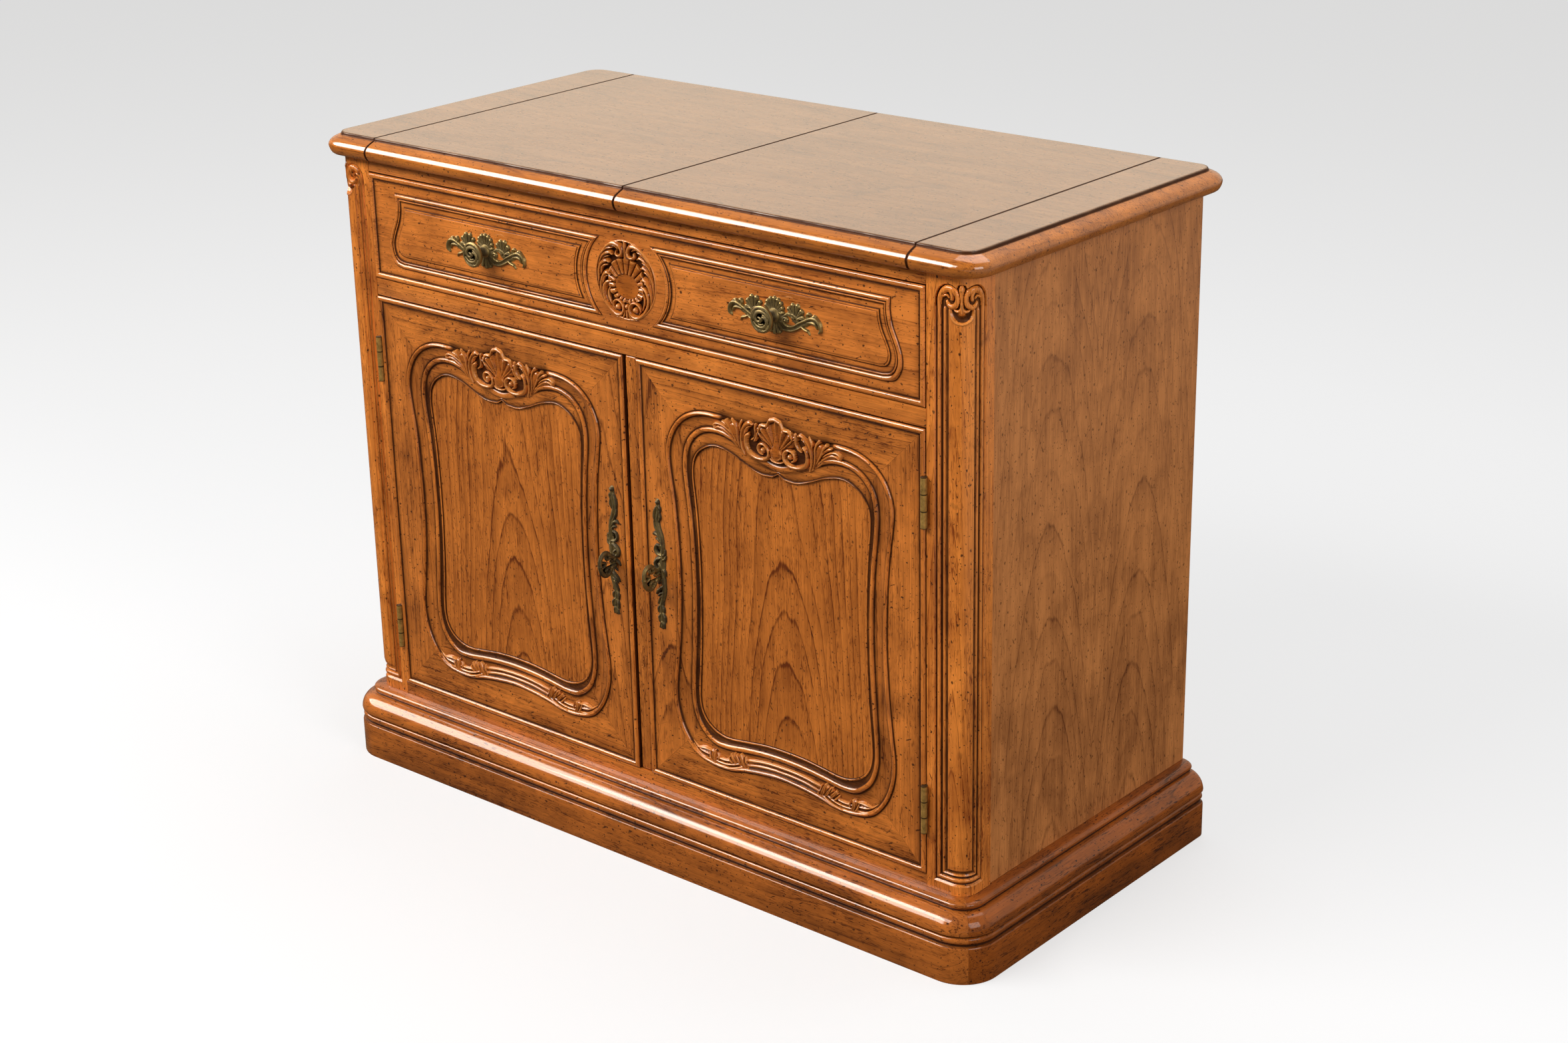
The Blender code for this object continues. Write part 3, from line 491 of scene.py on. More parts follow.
# Case: veneered side panels, solid rails and a narrow stile between the doors, and a plain back
# and inner boards. The side veneers are book-matched; the boards inside are pale and unstained.
CASE_FLOOR = 0.0863
CASE_TOP = 0.750
RAIL_HALF = 0.3967
RAIL_BACK = -0.186
MIDDLE_RAIL = (0.5905, 0.6105)
TOP_RAIL_LOW = 0.7355
STILE_HALF = 0.00875
VENEER_JOINT = 0.022
LEAF_SHIFT = 0.081


def rounded_board(name, low, high, edge, segments=2):
    """A board with all its edges eased by hand."""
    bpy.ops.object.select_all(action="DESELECT")
    bpy.ops.mesh.primitive_cube_add(size=1.0)
    piece = bpy.context.object
    piece.name = piece.data.name = name
    for vertex in piece.data.vertices:
        vertex.co = [high[k] if vertex.co[k] > 0 else low[k] for k in range(3)]
    bpy.ops.object.mode_set(mode="EDIT")
    bpy.ops.mesh.select_all(action="SELECT")
    bpy.ops.mesh.bevel(offset=edge, segments=segments, affect="EDGES")
    turned_outward()
    return piece


def dress(material, *names):
    """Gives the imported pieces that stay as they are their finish."""
    for name in names:
        for slot_place in nodes[name].material_slots:
            slot_place.material = material


rail_grain = finished_wood("rail_wood", GRAIN_X_FRONT, (0.4, 0.30, 0.14), slope=0.02, ring=0.005,
                           light=colour(240, 144, 61), dark=colour(112, 48, 10), pores=0.6)
for name, (low, high) in (("middle_rail", MIDDLE_RAIL), ("top_rail", (TOP_RAIL_LOW, CASE_TOP))):
    rail = rounded_board(f"{name}_board", (-RAIL_HALF, FRONT, low), (RAIL_HALF, RAIL_BACK, high), 0.0009)
    finish_piece(rail, "case", rail_grain, [name])
stile = rounded_board("centre_stile_board", (-STILE_HALF, -0.2065, 0.1003), (STILE_HALF, RAIL_BACK, 0.5902),
                      0.0034, 5)
finish_piece(stile, "case", finished_wood("stile_wood", GRAIN_Z_FRONT, (0.0, 0.21, 0.04), slope=0.02,
                                          ring=0.004),
             ["centre_stile"])
dress(finished_wood("bottom_board_wood", GRAIN_X_FRONT, (0.1, 0.25, 0.1), slope=0.02, ring=0.005,
                    dark=colour(92, 42, 15)), "bottom_board")
# Two leaves of veneer from one log, opened like a book about the middle of the side.
side_veneer = finished_wood("side_veneer", GRAIN_Z_SIDE, (0.35, 0.0, 0.0), slope=0.105, ring=0.0058,
                            figure=1.05, light=colour(218, 142, 80), dark=colour(112, 60, 27), specks=0.7,
                            rough=0.40, coat=0.35, mottle=0.9, pores=0.4)
tree = side_veneer.node_tree
axes = split(tree, tree.nodes["board"].outputs["Vector"])
folded = worked_out(tree, "ABSOLUTE", worked_out(tree, "SUBTRACT", axes["Y"], VENEER_JOINT))
leaf = worked_out(tree, "SUBTRACT", folded, LEAF_SHIFT)
log_place = node(tree, "CombineXYZ", {"X": axes["X"], "Y": leaf, "Z": 0.030})
tree.links.new(log_place.outputs["Vector"], tree.nodes["wood"].inputs["Place"])
dress(side_veneer, "left_side", "right_side")
poplar = finished_wood("inner_wood", GRAIN_X_TOP, (0.2, 0.13, 0.05), slope=0.06, ring=0.011, figure=0.7,
                       light=colour(205, 168, 120), dark=colour(150, 108, 66), specks=0.35, rough=0.5,
                       coat=0.0)
dress(poplar, "dust_panel", "shelf", "left_drawer_runner", "right_drawer_runner", "base_back")
dress(finished_wood("inner_wood_upright", GRAIN_Z_FRONT, (0.2, 0.05, 0.05), slope=0.06, ring=0.013,
                    figure=0.8, light=colour(178, 138, 94), dark=colour(120, 82, 48), specks=0.4, rough=0.55,
                    coat=0.0),
      "back_panel")

# Serving deck: a fixed board under the leaves, faced in black plastic laminate that stands
# hot dishes. The same laminate is let into the underside of each leaf.
laminate, tree = empty_material("black_laminate")
grain = noise(tree, own_place(tree), 900.0, 2.0)
haze = noise(tree, own_place(tree), 9.0, 4.0, distortion=0.6)
bump = node(tree, "Bump", {"Height": grain, "Strength": 0.25, "Distance": 0.0002})
principled(tree, {"Base Color": mixed(tree, haze, colour(30, 28, 27), colour(48, 45, 43)),
                  "Roughness": ranged(tree, haze, 0.0, 1.0, 0.30, 0.48), "Normal": bump.outputs["Normal"]})
dress(laminate, "serving_deck")

# Corner posts: solid, rounded on the outer corner and carved with a framed panel that wraps
# round it. Two scrolls curl in at its top, with a bud between them and a scooped hollow below.
POST_INNER = 0.397
POST_REAR = -0.165
POST_ROUND = 0.019
POST_FLAT = 0.031
PANEL_MIDDLE = 0.0406
SCOOP_MIDDLE = 714.5
SCOOP_REACH = 12.6
HINGE_STARTS = (0.1497, 0.4868)
HINGE_LENGTH = 0.054
POCKET_PLAY = 0.0003


def post_surface(run):
    """The place and outward direction on the post's face, by the distance round it from the opening."""
    turn = ((run - POST_FLAT) / POST_ROUND).clip(0.0, pi / 2)
    beyond = (run - POST_FLAT - POST_ROUND * pi / 2).clip(0.0, None)
    x = POST_INNER + np.minimum(run, POST_FLAT) + POST_ROUND * np.sin(turn)
    y = FRONT + POST_ROUND * (1 - np.cos(turn)) + beyond
    return x, y, np.sin(turn), -np.cos(turn)


def ease(value, low, high):
    """How far a value has gone from low to high, from 0 to 1, starting and ending gently."""
    t = ((np.asarray(value, dtype=float) - low) / (high - low)).clip(0.0, 1.0)
    return t * t * (3 - 2 * t)


def stroke(u, v, points, widths, heights, section="round"):
    """The height of one carved band along a line of points, at each place (u, v). Millimetres."""
    best = np.full(u.shape, np.inf)
    top = np.zeros(u.shape)
    lean = np.zeros(u.shape)
    for i in range(len(points) - 1):
        start, step = points[i], points[i + 1] - points[i]
        length = max(step @ step, 1e-9)
        t = (((u - start[0]) * step[0] + (v - start[1]) * step[1]) / length).clip(0.0, 1.0)
        off_u = u - start[0] - t * step[0]
        off_v = v - start[1] - t * step[1]
        width = widths[i] + (widths[i + 1] - widths[i]) * t
        far = np.hypot(off_u, off_v) / width.clip(1e-3, None)
        nearer = far < best
        best = np.where(nearer, far, best)
        top = np.where(nearer, heights[i] + (heights[i + 1] - heights[i]) * t, top)
        lean = np.where(nearer, np.sign(off_u * step[1] - off_v * step[0]), lean)
    across = best.clip(0, 1)
    arch = np.sqrt((1 - across ** 2))
    shape = {"round": arch, "leaf": arch * (1 - 0.22 * np.exp(-((best * 4.0) ** 2))), "flat": 1 - across ** 4,
             "left": arch * (0.9 - 0.34 * best * lean), "right": arch * (0.9 + 0.34 * best * lean)}[section]
    return np.where(best < 1.0, top * shape, -np.inf)


def smoothed(points, steps=6, closed=False):
    """A smooth line through the points, with that many steps between each pair."""
    points = np.array(points, dtype=float)
    if closed:
        ends = np.concatenate([points[-1:], points, points[:2]])
    else:
        ends = np.concatenate([2 * points[:1] - points[1:2], points, 2 * points[-1:] - points[-2:-1]])
    line = []
    for i in range(1, len(ends) - 2):
        a, b, c, d = ends[i - 1:i + 3]
        for k in range(steps):
            t = k / steps
            line.append(0.5 * (2 * b + (c - a) * t + (2 * a - 5 * b + 4 * c - d) * t * t
                               + (3 * b - a - 3 * c + d) * t ** 3))
    if not closed:
        line.append(ends[-2])
    return np.array(line)


def carved(u, v, strokes, steps=4, base=0.0, wider=1.0, taller=1.0, lift=0.0):
    """The highest of several strokes over a base. A stroke is its section and its points: u, v, width,
    height."""
    relief = np.full(u.shape, -np.inf)
    for section, *points in strokes:
        points = np.array(points, dtype=float)
        line = smoothed(points[:, :2], steps)
        at = np.linspace(0, len(points) - 1, len(line))
        widths = np.interp(at, np.arange(len(points)), wider * points[:, 2])
        heights = np.interp(at, np.arange(len(points)), taller * points[:, 3] + lift - base)
        relief = np.maximum(relief, stroke(u, v, line, widths, heights, section) + base)
    return relief


def lattice(name, columns, rows):
    """A grid of points that are then carved to their places, given as x, y and z arrays of rows by
    columns."""
    bpy.ops.object.select_all(action="DESELECT")
    bpy.ops.mesh.primitive_grid_add(x_subdivisions=columns - 1, y_subdivisions=rows - 1, size=1.0)
    piece = bpy.context.object
    piece.name = piece.data.name = name
    return piece


def carve(piece, x, y, z, glaze=None):
    piece.data.vertices.foreach_set("co", np.stack([x, y, z], -1).reshape(-1))
    piece.data.update()
    if glaze is not None:
        piece.data.attributes.new("glaze", "FLOAT", "POINT").data.foreach_set("value", glaze.reshape(-1))


def settle_glaze_and_shade(piece, rounds=(2, 6, 16), reach=(0.00017, 0.0004, 0.0008)):
    """Marks how deep each point lies under its surroundings, where glaze and painted shade go, or how far
    it stands out, where it is rubbed bright, partly as a painted highlight.
    """
    mesh = piece.data
    count = len(mesh.vertices)
    place = np.empty(count * 3)
    mesh.vertices.foreach_get("co", place)
    place = place.reshape(-1, 3)
    normals = np.empty(count * 3)
    mesh.vertex_normals.foreach_get("vector", normals)
    normals = normals.reshape(-1, 3)
    ends = np.empty(len(mesh.edges) * 2, dtype=np.int64)
    mesh.edges.foreach_get("vertices", ends)
    ends = ends.reshape(-1, 2)
    first = np.concatenate([ends[:, 0], ends[:, 1]])
    second = np.concatenate([ends[:, 1], ends[:, 0]])
    share = np.bincount(first, minlength=count).clip(1)
    depth = np.zeros(count)
    smooth = place.copy()
    done = 0
    for rounds_so_far, size in zip(rounds, reach):
        while done < rounds_so_far:
            mean = np.stack([np.bincount(first, smooth[second, k], count) / share for k in range(3)], 1)
            smooth = smooth * 0.3 + mean * 0.7
            done += 1
        depth += np.einsum("ij,ij->i", smooth - place, normals) / size / len(rounds)
    for _ in range(2):
        depth = depth * 0.5 + np.bincount(first, depth[second], count) / share * 0.5
    layer = mesh.attributes.get("glaze")
    if layer:
        painted = np.empty(count)
        layer.data.foreach_get("value", painted)
        depth = depth + painted
    else:
        layer = mesh.attributes.new("glaze", "FLOAT", "POINT")
    layer.data.foreach_set("value", depth.clip(-1.0, 1.0).astype(np.float32))


def cut_out(piece, tool):
    """Takes the tool's shape out of a piece, and throws the tool away."""
    choose(piece)
    cut = piece.modifiers.new("cut", "BOOLEAN")
    cut.operation = "DIFFERENCE"
    cut.object = tool
    bpy.ops.object.modifier_apply(modifier=cut.name)
    bpy.data.objects.remove(tool, do_unlink=True)


def hinge_pockets(piece, side, low_x, high_x, low_y, high_y):
    """Cuts the pockets for both hinges out of a piece, between two distances from the middle of the
    cabinet."""
    low_x, high_x = sorted((side * low_x, side * high_x))
    for start in HINGE_STARTS:
        cut_out(piece, rounded_board("pocket", (low_x, low_y, start - POCKET_PLAY),
                                     (high_x, high_y, start + HINGE_LENGTH + POCKET_PLAY), 0.0001, 1))


# From the middle of the panel outwards: a field, a groove, a bead between two hollows, and the plain edge.
POST_PROFILE = [(0, 0.5), (6, 0.35), (10.5, -0.05), (13.3, -0.5), (14.2, -0.8), (14.6, -1.8), (15.6, -2.5),
                (17.4, -2.7), (19.2, -2.0), (20.0, -1.25), (20.5, -1.1), (21.0, -1.6), (21.7, -2.8),
                (22.8, -3.1), (23.9, -2.5), (24.4, -1.0), (25.1, -0.25), (26.1, 0.0), (27.1, -0.25),
                (27.8, -1.0), (28.3, -2.0), (29.5, -2.5), (30.6, -1.5), (31.2, -0.35), (31.9, 0.0), (60, 0.0)]
POST_SCROLLS = [
    ("round", (26.1, 708, 1.9, 2.9), (26.1, 718, 2.2, 3.1), (25.3, 725.5, 2.9, 3.5), (21.8, 732, 3.5, 3.9),
     (16.2, 735.6, 3.9, 4.2), (10.2, 735.2, 3.9, 4.1), (5.6, 731.2, 3.3, 3.7), (4.3, 725.6, 3, 3.5),
     (6.4, 720.6, 3, 3.5), (10.6, 718.2, 2.9, 3.4), (14.8, 719.4, 2.4, 2.9), (17.2, 722.6, 1.5, 2.2)),
    ("round", (12, 733.5, 2.6, 4), (10.6, 729.5, 2.3, 3.5), (11.2, 725.8, 1.9, 3)),
    ("round", (21.4, 727.5, 1.5, 2.6), (17.6, 729, 1.3, 2.4), (14.8, 726.6, 0.9, 1.8)),
    ("round", (0.4, 717.5, 1.6, 2.6), (3.4, 714.4, 1.6, 2.4), (7.2, 714.8, 1.4, 2), (10.6, 717.4, 0.8, 1.2)),
]
POST_BUD = [("round", (0, 738.4, 2.6, 3.6), (0, 735.8, 3.3, 4.4), (0, 731, 2.3, 3.6), (0, 724, 1.7, 3.2),
             (0, 717, 2.3, 3.2), (0, 711.6, 1.6, 2.6))]


def from_scoop(s, z):
    return np.hypot(s, (z - SCOOP_MIDDLE) * 1.04)


def post_relief(s, z):
    """How far the carver left the post's face standing. All in millimetres, from the panel's middle
    and the floor."""
    a = np.abs(s)
    foot = np.interp(z, [92, 97, 99.4, 103.6, 107.2, 109, 115, 118, 122],
                     [40, 31.6, 29.7, 26.1, 22.8, 20.4, 14.4, 11.4, 0])
    shaft = np.interp(np.maximum(a, foot), *zip(*POST_PROFILE))
    inside = np.interp(a, [0, 3.6, 5.6, 10, 15, 20.5, 25.5, 29, 30.6, 31.2],
                       [741.4, 740.8, 737.6, 740.2, 741.0, 739.6, 736.2, 731.0, 724.0, 690.0])
    depth = inside - z
    ground = -2.9 * ease(depth, -0.3, 1.4)
    scroll = np.maximum(carved(a, z, POST_SCROLLS, steps=6), carved(s, z, POST_BUD, steps=6)) - 2.9
    bowl = from_scoop(s, z)
    scoop = -0.4 - 4.2 * np.sin(pi * np.minimum(bowl / SCOOP_REACH, 1.0) ** 1.8)
    lip = 0.9 * np.exp(-((bowl - 13.0) / 0.9) ** 2)
    field = np.interp(a, [0, 6, 11, 14], [0.5, 0.35, -0.1, -0.9])
    body = np.where(a < 14.6, np.where(bowl < SCOOP_REACH, scoop, field + lip), shaft)
    blend = ease(z, 714.0, 718.5)
    top_part = np.maximum(body, scroll) * (1 - blend) + np.maximum(ground, scroll) * blend
    top_part = np.maximum(top_part, np.where(z > 705, scroll, -np.inf))
    relief = np.where(z < 700.5, shaft, np.where(z < 712, body, top_part))
    return np.where(depth > -0.5, relief, np.minimum(0.0, ground))


post_run = np.arange(0.0, 0.0848 + 0.0003, 0.00062)
post_run[-1] = POST_FLAT + POST_ROUND * pi / 2 + (POST_REAR - FRONT - POST_ROUND)
post_heights = np.concatenate([[CASE_FLOOR, 0.092], np.arange(0.096, 0.1235, 0.0006),
                               np.linspace(0.13, 0.69, 18), np.arange(0.6975, 0.7435, 0.00055),
                               [0.7465, CASE_TOP]])
run, height = np.meshgrid(post_run, post_heights)
s, z = (run - PANEL_MIDDLE) * 1000, height * 1000
out = post_relief(s, z) / 1000
# Glaze and painted shade lie in the grooves and the scoop at the top; the scoop's lip is rubbed bright
# as a painted highlight.
glaze_and_painted_light = np.where((np.abs(from_scoop(s, z) - 13.0) < 0.9) & (height < 0.7115), -1.0,
                0.5 * ease(-1000 * out, 1.5, 2.9))
x, y, facing_x, facing_y = post_surface(run)
post_grain = finished_wood("post_wood", GRAIN_Z_FRONT, (0.1, -0.425, 0.222), slope=0.05, ring=0.0055,
                           figure=1.1, light=colour(254, 153, 64), dark=colour(124, 51, 9), coat=0.7,
                           pores=0.7)
for name, side in (("left", -1), ("right", 1)):
    post = lattice(f"{name}_corner_post", len(post_run), len(post_heights))
    carve(post, side * (x + facing_x * out), y + facing_y * out, height, glaze_and_painted_light)
    settle_glaze_and_shade(post, (2, 9), (0.00026, 0.0009))
    bpy.ops.object.mode_set(mode="EDIT")
    bpy.ops.mesh.select_all(action="SELECT")
    bpy.ops.mesh.region_to_loop()
    bpy.ops.mesh.extrude_edges_move()
    mesh_edit = bmesh.from_edit_mesh(post.data)
    for vertex in mesh_edit.verts:
        if vertex.select:
            vertex.co.x, vertex.co.y = side * POST_INNER, POST_REAR
    bmesh.update_edit_mesh(post.data)
    turned_outward(merge=1e-6)
    hinge_pockets(post, side, POST_INNER - 0.002, POST_INNER + 0.0012, FRONT - 0.01, FRONT + 0.017)
    finish_piece(post, "case", post_grain, [f"{name}_post"])

# Top: two fixed ends and two leaves between them, veneered, with a moulded nose all round. Each
# leaf is hung on its end by two concealed brass hinges and turns over onto it, where its
# laminated underside makes more room to serve from.
TOP_HALF = 0.466
TOP_FRONT = -0.223
TOP_REAR = 0.239
TOP_LOW = 0.7503
TOP_HIGH = 0.775
TOP_CORNER = 0.034
SEAM = 0.384
SEAM_GAP = 0.001
FLIP_HEIGHT = (TOP_LOW + TOP_HIGH) / 2
FLIP_PLACES = (TOP_FRONT + 0.085, TOP_REAR - 0.085)
FLIP_CUP = 0.018
FLIP_BORE = 0.0053
EASED_END = 0.0004
INLAY_Z = (0.75022, 0.7512)
# From under the nose round to the top: how far in from the edge, the height, and the glaze, with painted
# shade under the nose.
NOSE = [(0.0072, 0.7503, 0.5), (0.0052, 0.7508, 0.2), (0.0034, 0.7521, 0.0), (0.0020, 0.7541, 0.0),
        (0.0009, 0.7565, 0.0), (0.0002, 0.7590, 0.1), (0.0, 0.7604, 0.2), (0.0004, 0.7621, 0.1),
        (0.0013, 0.7639, 0.0), (0.0027, 0.7656, -0.2), (0.0044, 0.7670, -0.3), (0.0066, 0.7682, -0.2),
        (0.0090, 0.7693, 0.0), (0.0116, 0.7704, 0.0), (0.0138, 0.7713, 0.15), (0.0147, 0.7716, 0.5),
        (0.0152, 0.7722, 0.75), (0.0154, 0.7731, 0.75), (0.0156, 0.7741, 0.6), (0.0162, 0.7747, 0.5),
        (0.0174, 0.7750, 0.3), (0.0196, 0.7750, 0.0)]
NOSE_GLAZE_AND_SHADE = [shade for inward, height, shade in NOSE]


def bore_for_hinges(piece, start, end):
    for place_y in FLIP_PLACES:
        circle = turn_round(place_y, FLIP_HEIGHT, FLIP_BORE, 0.0, 2 * pi, 20)[:-1]
        cut_out(piece, pulled("bore", [[(x, y, z) for y, z in circle] for x in (start, end)]))


def brushed_metal(name, bright, dull, rough):
    """Aged metal: a thin brown film, thicker in the hollows, rubbed bright on the high places."""
    metal, tree = empty_material(name)
    film = noise(tree, own_place(tree), 160.0, 5.0, 0.65)
    spots = noise(tree, own_place(tree), 700.0, 3.0)
    hollows = node(tree, "Attribute", attribute_name="glaze").outputs["Fac"]
    mask = ranged(tree, worked_out(tree, "MULTIPLY_ADD", hollows, 0.75, film), 0.18, 0.78)
    bump = node(tree, "Bump", {"Height": spots, "Strength": 0.25, "Distance": 0.00015})
    principled(tree, {"Base Color": mixed(tree, mask, bright, dull), "Normal": bump.outputs["Normal"],
                      "Roughness": ranged(tree, mask, 0.0, 1.0, rough, rough + 0.28),
                      "Metallic": ranged(tree, mask, 0.0, 1.0, 0.75, 0.35)})
    return metal


def deepen(material, found):
    """Adds glaze to a wood where the given socket finds a joint."""
    tree = material.node_tree
    deeper = worked_out(tree, "MAXIMUM", tree.nodes["hollows"].outputs["Fac"], found)
    tree.links.new(deeper, tree.nodes["wear"].inputs["Glaze"])


def top_finish(name, shift, slope, ring, light, dark, mottle, joints):
    """Brown veneer under thick lacquer, with glaze gathered in the joints and a nose of the solid wood."""
    veneer = finished_wood(name, GRAIN_X_TOP, shift, slope=slope, ring=ring, figure=0.9, light=light,
                           dark=dark, specks=0.8, rough=0.30, mottle=mottle, pores=0.6)
    tree = veneer.node_tree
    place = split(tree, own_place(tree))
    found = 0.0
    for joint in joints:
        off = worked_out(tree, "ABSOLUTE", worked_out(tree, "SUBTRACT", place["X"], joint))
        found = worked_out(tree, "MAXIMUM", ranged(tree, off, 0.0009, 0.0021, 1.3, 0.0), found)
    deepen(veneer, found)
    shader, wood = tree.nodes["shader"], tree.nodes["wood"]
    shader.inputs["Coat IOR"].default_value = 2.0
    nose = ranged(tree, place["Z"], 0.7737, 0.7732)
    for key, solid in (("Light", colour(214, 126, 46)), ("Dark", colour(104, 47, 12))):
        tree.links.new(mixed(tree, nose, wood.inputs[key].default_value[:], solid), wood.inputs[key])
    lacquer = shader.inputs["Coat Weight"].links[0].from_socket
    thinner = worked_out(tree, "MULTIPLY", worked_out(tree, "MULTIPLY_ADD", nose, -0.5, 1.0), lacquer)
    tree.links.new(thinner, shader.inputs["Coat Weight"])
    return veneer


top_grain = top_finish("top_veneer", (0.25, 0.06, 0.030), 0.035, 0.010, colour(156, 101, 50),
                       colour(98, 55, 22), 0.7, (-SEAM, 0.0, SEAM))
end_grain = top_finish("top_end_veneer", (0.65, 0.19, 0.035), 0.03, 0.009, colour(160, 104, 52),
                       colour(99, 56, 22), 0.8, (-SEAM, SEAM))
flip_brass = brushed_metal("flip_hinge_brass", colour(214, 178, 104), colour(120, 92, 50), 0.30)
middle_y = (TOP_FRONT + TOP_REAR) / 2
for name, side in (("left", -1), ("right", 1)):
    loops = []
    for inward, height, shade in NOSE:
        plan = [(SEAM + SEAM_GAP / 2, TOP_FRONT + inward)]
        for centre_y, start in ((TOP_FRONT + TOP_CORNER, -pi / 2), (TOP_REAR - TOP_CORNER, 0.0)):
            plan += turn_round(TOP_HALF - TOP_CORNER, centre_y, TOP_CORNER - inward, start, start + pi / 2,
                               14)
        plan.append((SEAM + SEAM_GAP / 2, TOP_REAR - inward))
        loops.append([(side * x, y, height) for x, y in plan])
    end = pulled(f"{name}_fixed_end", loops, glaze=NOSE_GLAZE_AND_SHADE)
    bore_for_hinges(end, side * (SEAM - 0.002), side * (SEAM + SEAM_GAP / 2 + FLIP_CUP + 0.0003))
    finish_piece(end, "case", end_grain, [f"{name}_top_end"])

    section = [(TOP_FRONT + inward, height) for inward, height, shade in NOSE]
    section += [(TOP_REAR - inward, height) for inward, height, shade in reversed(NOSE)]
    edge_low, edge_high = SEAM_GAP / 2, SEAM - SEAM_GAP / 2
    loops = []
    for x, shrink in ((edge_low, EASED_END), (edge_low + 0.0005, 0.0), (edge_low + 0.0015, 0.0),
                      (edge_high - 0.0015, 0.0), (edge_high - 0.0005, 0.0), (edge_high, EASED_END)):
        wide = 1 - 2 * shrink / (TOP_REAR - TOP_FRONT)
        thick = 1 - 2 * shrink / (TOP_HIGH - TOP_LOW)
        loops.append([(side * x, middle_y + (y - middle_y) * wide, FLIP_HEIGHT + (z - FLIP_HEIGHT) * thick)
                      for y, z in section])
    leaf = pulled(f"{name}_turning_leaf", loops, glaze=[np.array(NOSE_GLAZE_AND_SHADE + NOSE_GLAZE_AND_SHADE[::-1])] * len(loops))
    bore_for_hinges(leaf, side * (SEAM + 0.002), side * (edge_high - FLIP_CUP - 0.0003))
    finish_piece(leaf, f"{name}_flap", top_grain, [f"{name}_leaf"])

    plan = []
    for corner_x, corner_y, start in ((0.362, 0.196, 0.0), (0.022, 0.196, pi / 2), (0.022, -0.180, pi),
                                      (0.362, -0.180, 1.5 * pi)):
        plan += turn_round(side * corner_x, corner_y, 0.010, *sorted((start, start + pi / 2)), 5)
    low_x, high_x = sorted((side * 0.012, side * 0.372))
    plan = [(max(low_x, min(high_x, x)), y) for x, y in plan]
    centre_x = side * 0.192
    plan.sort(key=lambda point: np.arctan2(point[1] - 0.008, point[0] - centre_x))
    inlay = pulled(f"{name}_leaf_laminate", [[(x, y, z) for x, y in plan] for z in INLAY_Z])
    finish_piece(inlay, f"{name}_flap", laminate, None)
    for row in ("front", "rear"):
        dress(flip_brass, f"{name}_flip_hinge_{row}_fixed", f"{name}_flip_hinge_{row}_moving")

# Doors: a solid frame, mitred in its corners, moulded and carved round a shaped opening, with a
# small bead round its outer edge and a veneered panel let in behind the moulding.
DOOR_MIDDLE = 0.202875
DOOR_HALF = 0.192925
DOOR_LOW = 0.1012
DOOR_HIGH = 0.5893
DOOR_CENTRE = (DOOR_LOW + DOOR_HIGH) / 2
DOOR_THICK = 19.0
DOOR_EDGE = 0.3958
PANEL_FACE = FRONT + 0.0048
PANEL_THICK = 0.006
HINGE_X = 0.3964
PAST_EDGE = 0.400
# The moulding's lines, half of each, from the middle of the bottom round to the middle of the
# top, in millimetres from the door's middle and above the floor. Points match line by line.
outer_line = [(0, 149.0), (28, 147.0), (54, 143.2), (73, 138.8), (99, 138.6), (124, 146), (141.5, 165),
              (151.8, 190), (154.3, 216), (151.0, 246), (146.6, 288), (143.6, 345), (144.6, 395),
              (147.6, 438), (152.0, 470), (154.0, 492), (150.8, 509), (142.5, 525), (130.0, 537.5),
              (114, 545.8), (96, 549.5), (74, 549.5), (50, 547.5), (24, 551), (0, 556)]
bead_line = [(0, 172.0), (28, 171.0), (54, 168.4), (80, 165.0), (99, 166.5), (114, 177), (122.5, 190),
             (127.0, 208), (127.3, 230), (125.6, 254), (123.2, 290), (121.4, 335), (122.0, 385), (124.6, 428),
             (128.2, 460), (129.6, 482), (127.0, 500), (120.5, 513), (110.5, 522.5), (99.5, 527.8),
             (86, 530.0), (70, 528.5), (50, 521.5), (24, 510.5), (0, 505)]
panel_line = [(0, 183.0), (28, 182.0), (54, 178.8), (78, 176.0), (94, 178.6), (107, 186), (115.2, 197),
              (118.5, 211), (118.0, 230), (116.0, 254), (113.8, 290), (112.4, 335), (112.8, 385),
              (114.8, 428), (117.6, 455), (119.0, 474), (117.0, 488), (110.8, 498.5), (101.5, 505.8),
              (90.5, 510.5), (78, 511), (60, 506.5), (40, 498.2), (20, 492.6), (0, 496)]
# How far in from the edge of a door or drawer front, how proud, and the glaze, with painted shade
# dark in the gap at the edge: its edge and its bead.
EDGE_BEAD = [(0.0, -6.0, 0.8), (0.0, -0.4, 0.8), (0.0, 0.3, 0.3), (0.3, 1.2, -0.1)]
for t in np.linspace(0.9, pi - 0.35, 8):
    EDGE_BEAD.append((3.0 - 2.9 * cos(t), 2.5 * sin(t), -0.25 if 1.2 < t < 2.2 else 0.0))
EDGE_BEAD += [(6.1, 0.25, 0.75), (6.5, -0.25, 1.0), (7.0, 0.0, 0.7), (9.0, 0.0, 0.30)]


def whole_line(half, steps=5):
    """A smooth closed line round the frame from one half of it, starting at the middle of the bottom."""
    points = np.array(half, dtype=float)
    return smoothed(np.concatenate([points, points[-2:0:-1] * (-1, 1)]), steps, closed=True)


outer_round = whole_line(outer_line)
bead_round = whole_line(bead_line)
panel_round = whole_line(panel_line)
cusp = np.abs(panel_round[:, 0])
crest_top = panel_round[:, 1] > 480
panel_round[:, 1] += crest_top * (2.2 * np.exp(-(cusp / 3.2) ** 2) - 1.3 * np.exp(-((cusp - 8.0) / 4.0) ** 2))


def toward(start, end, distance):
    """Points at a distance in millimetres from one line, towards the points that match them on another."""
    step = end - start
    return start + step / np.linalg.norm(step, axis=1, keepdims=True).clip(1e-6, None) * distance


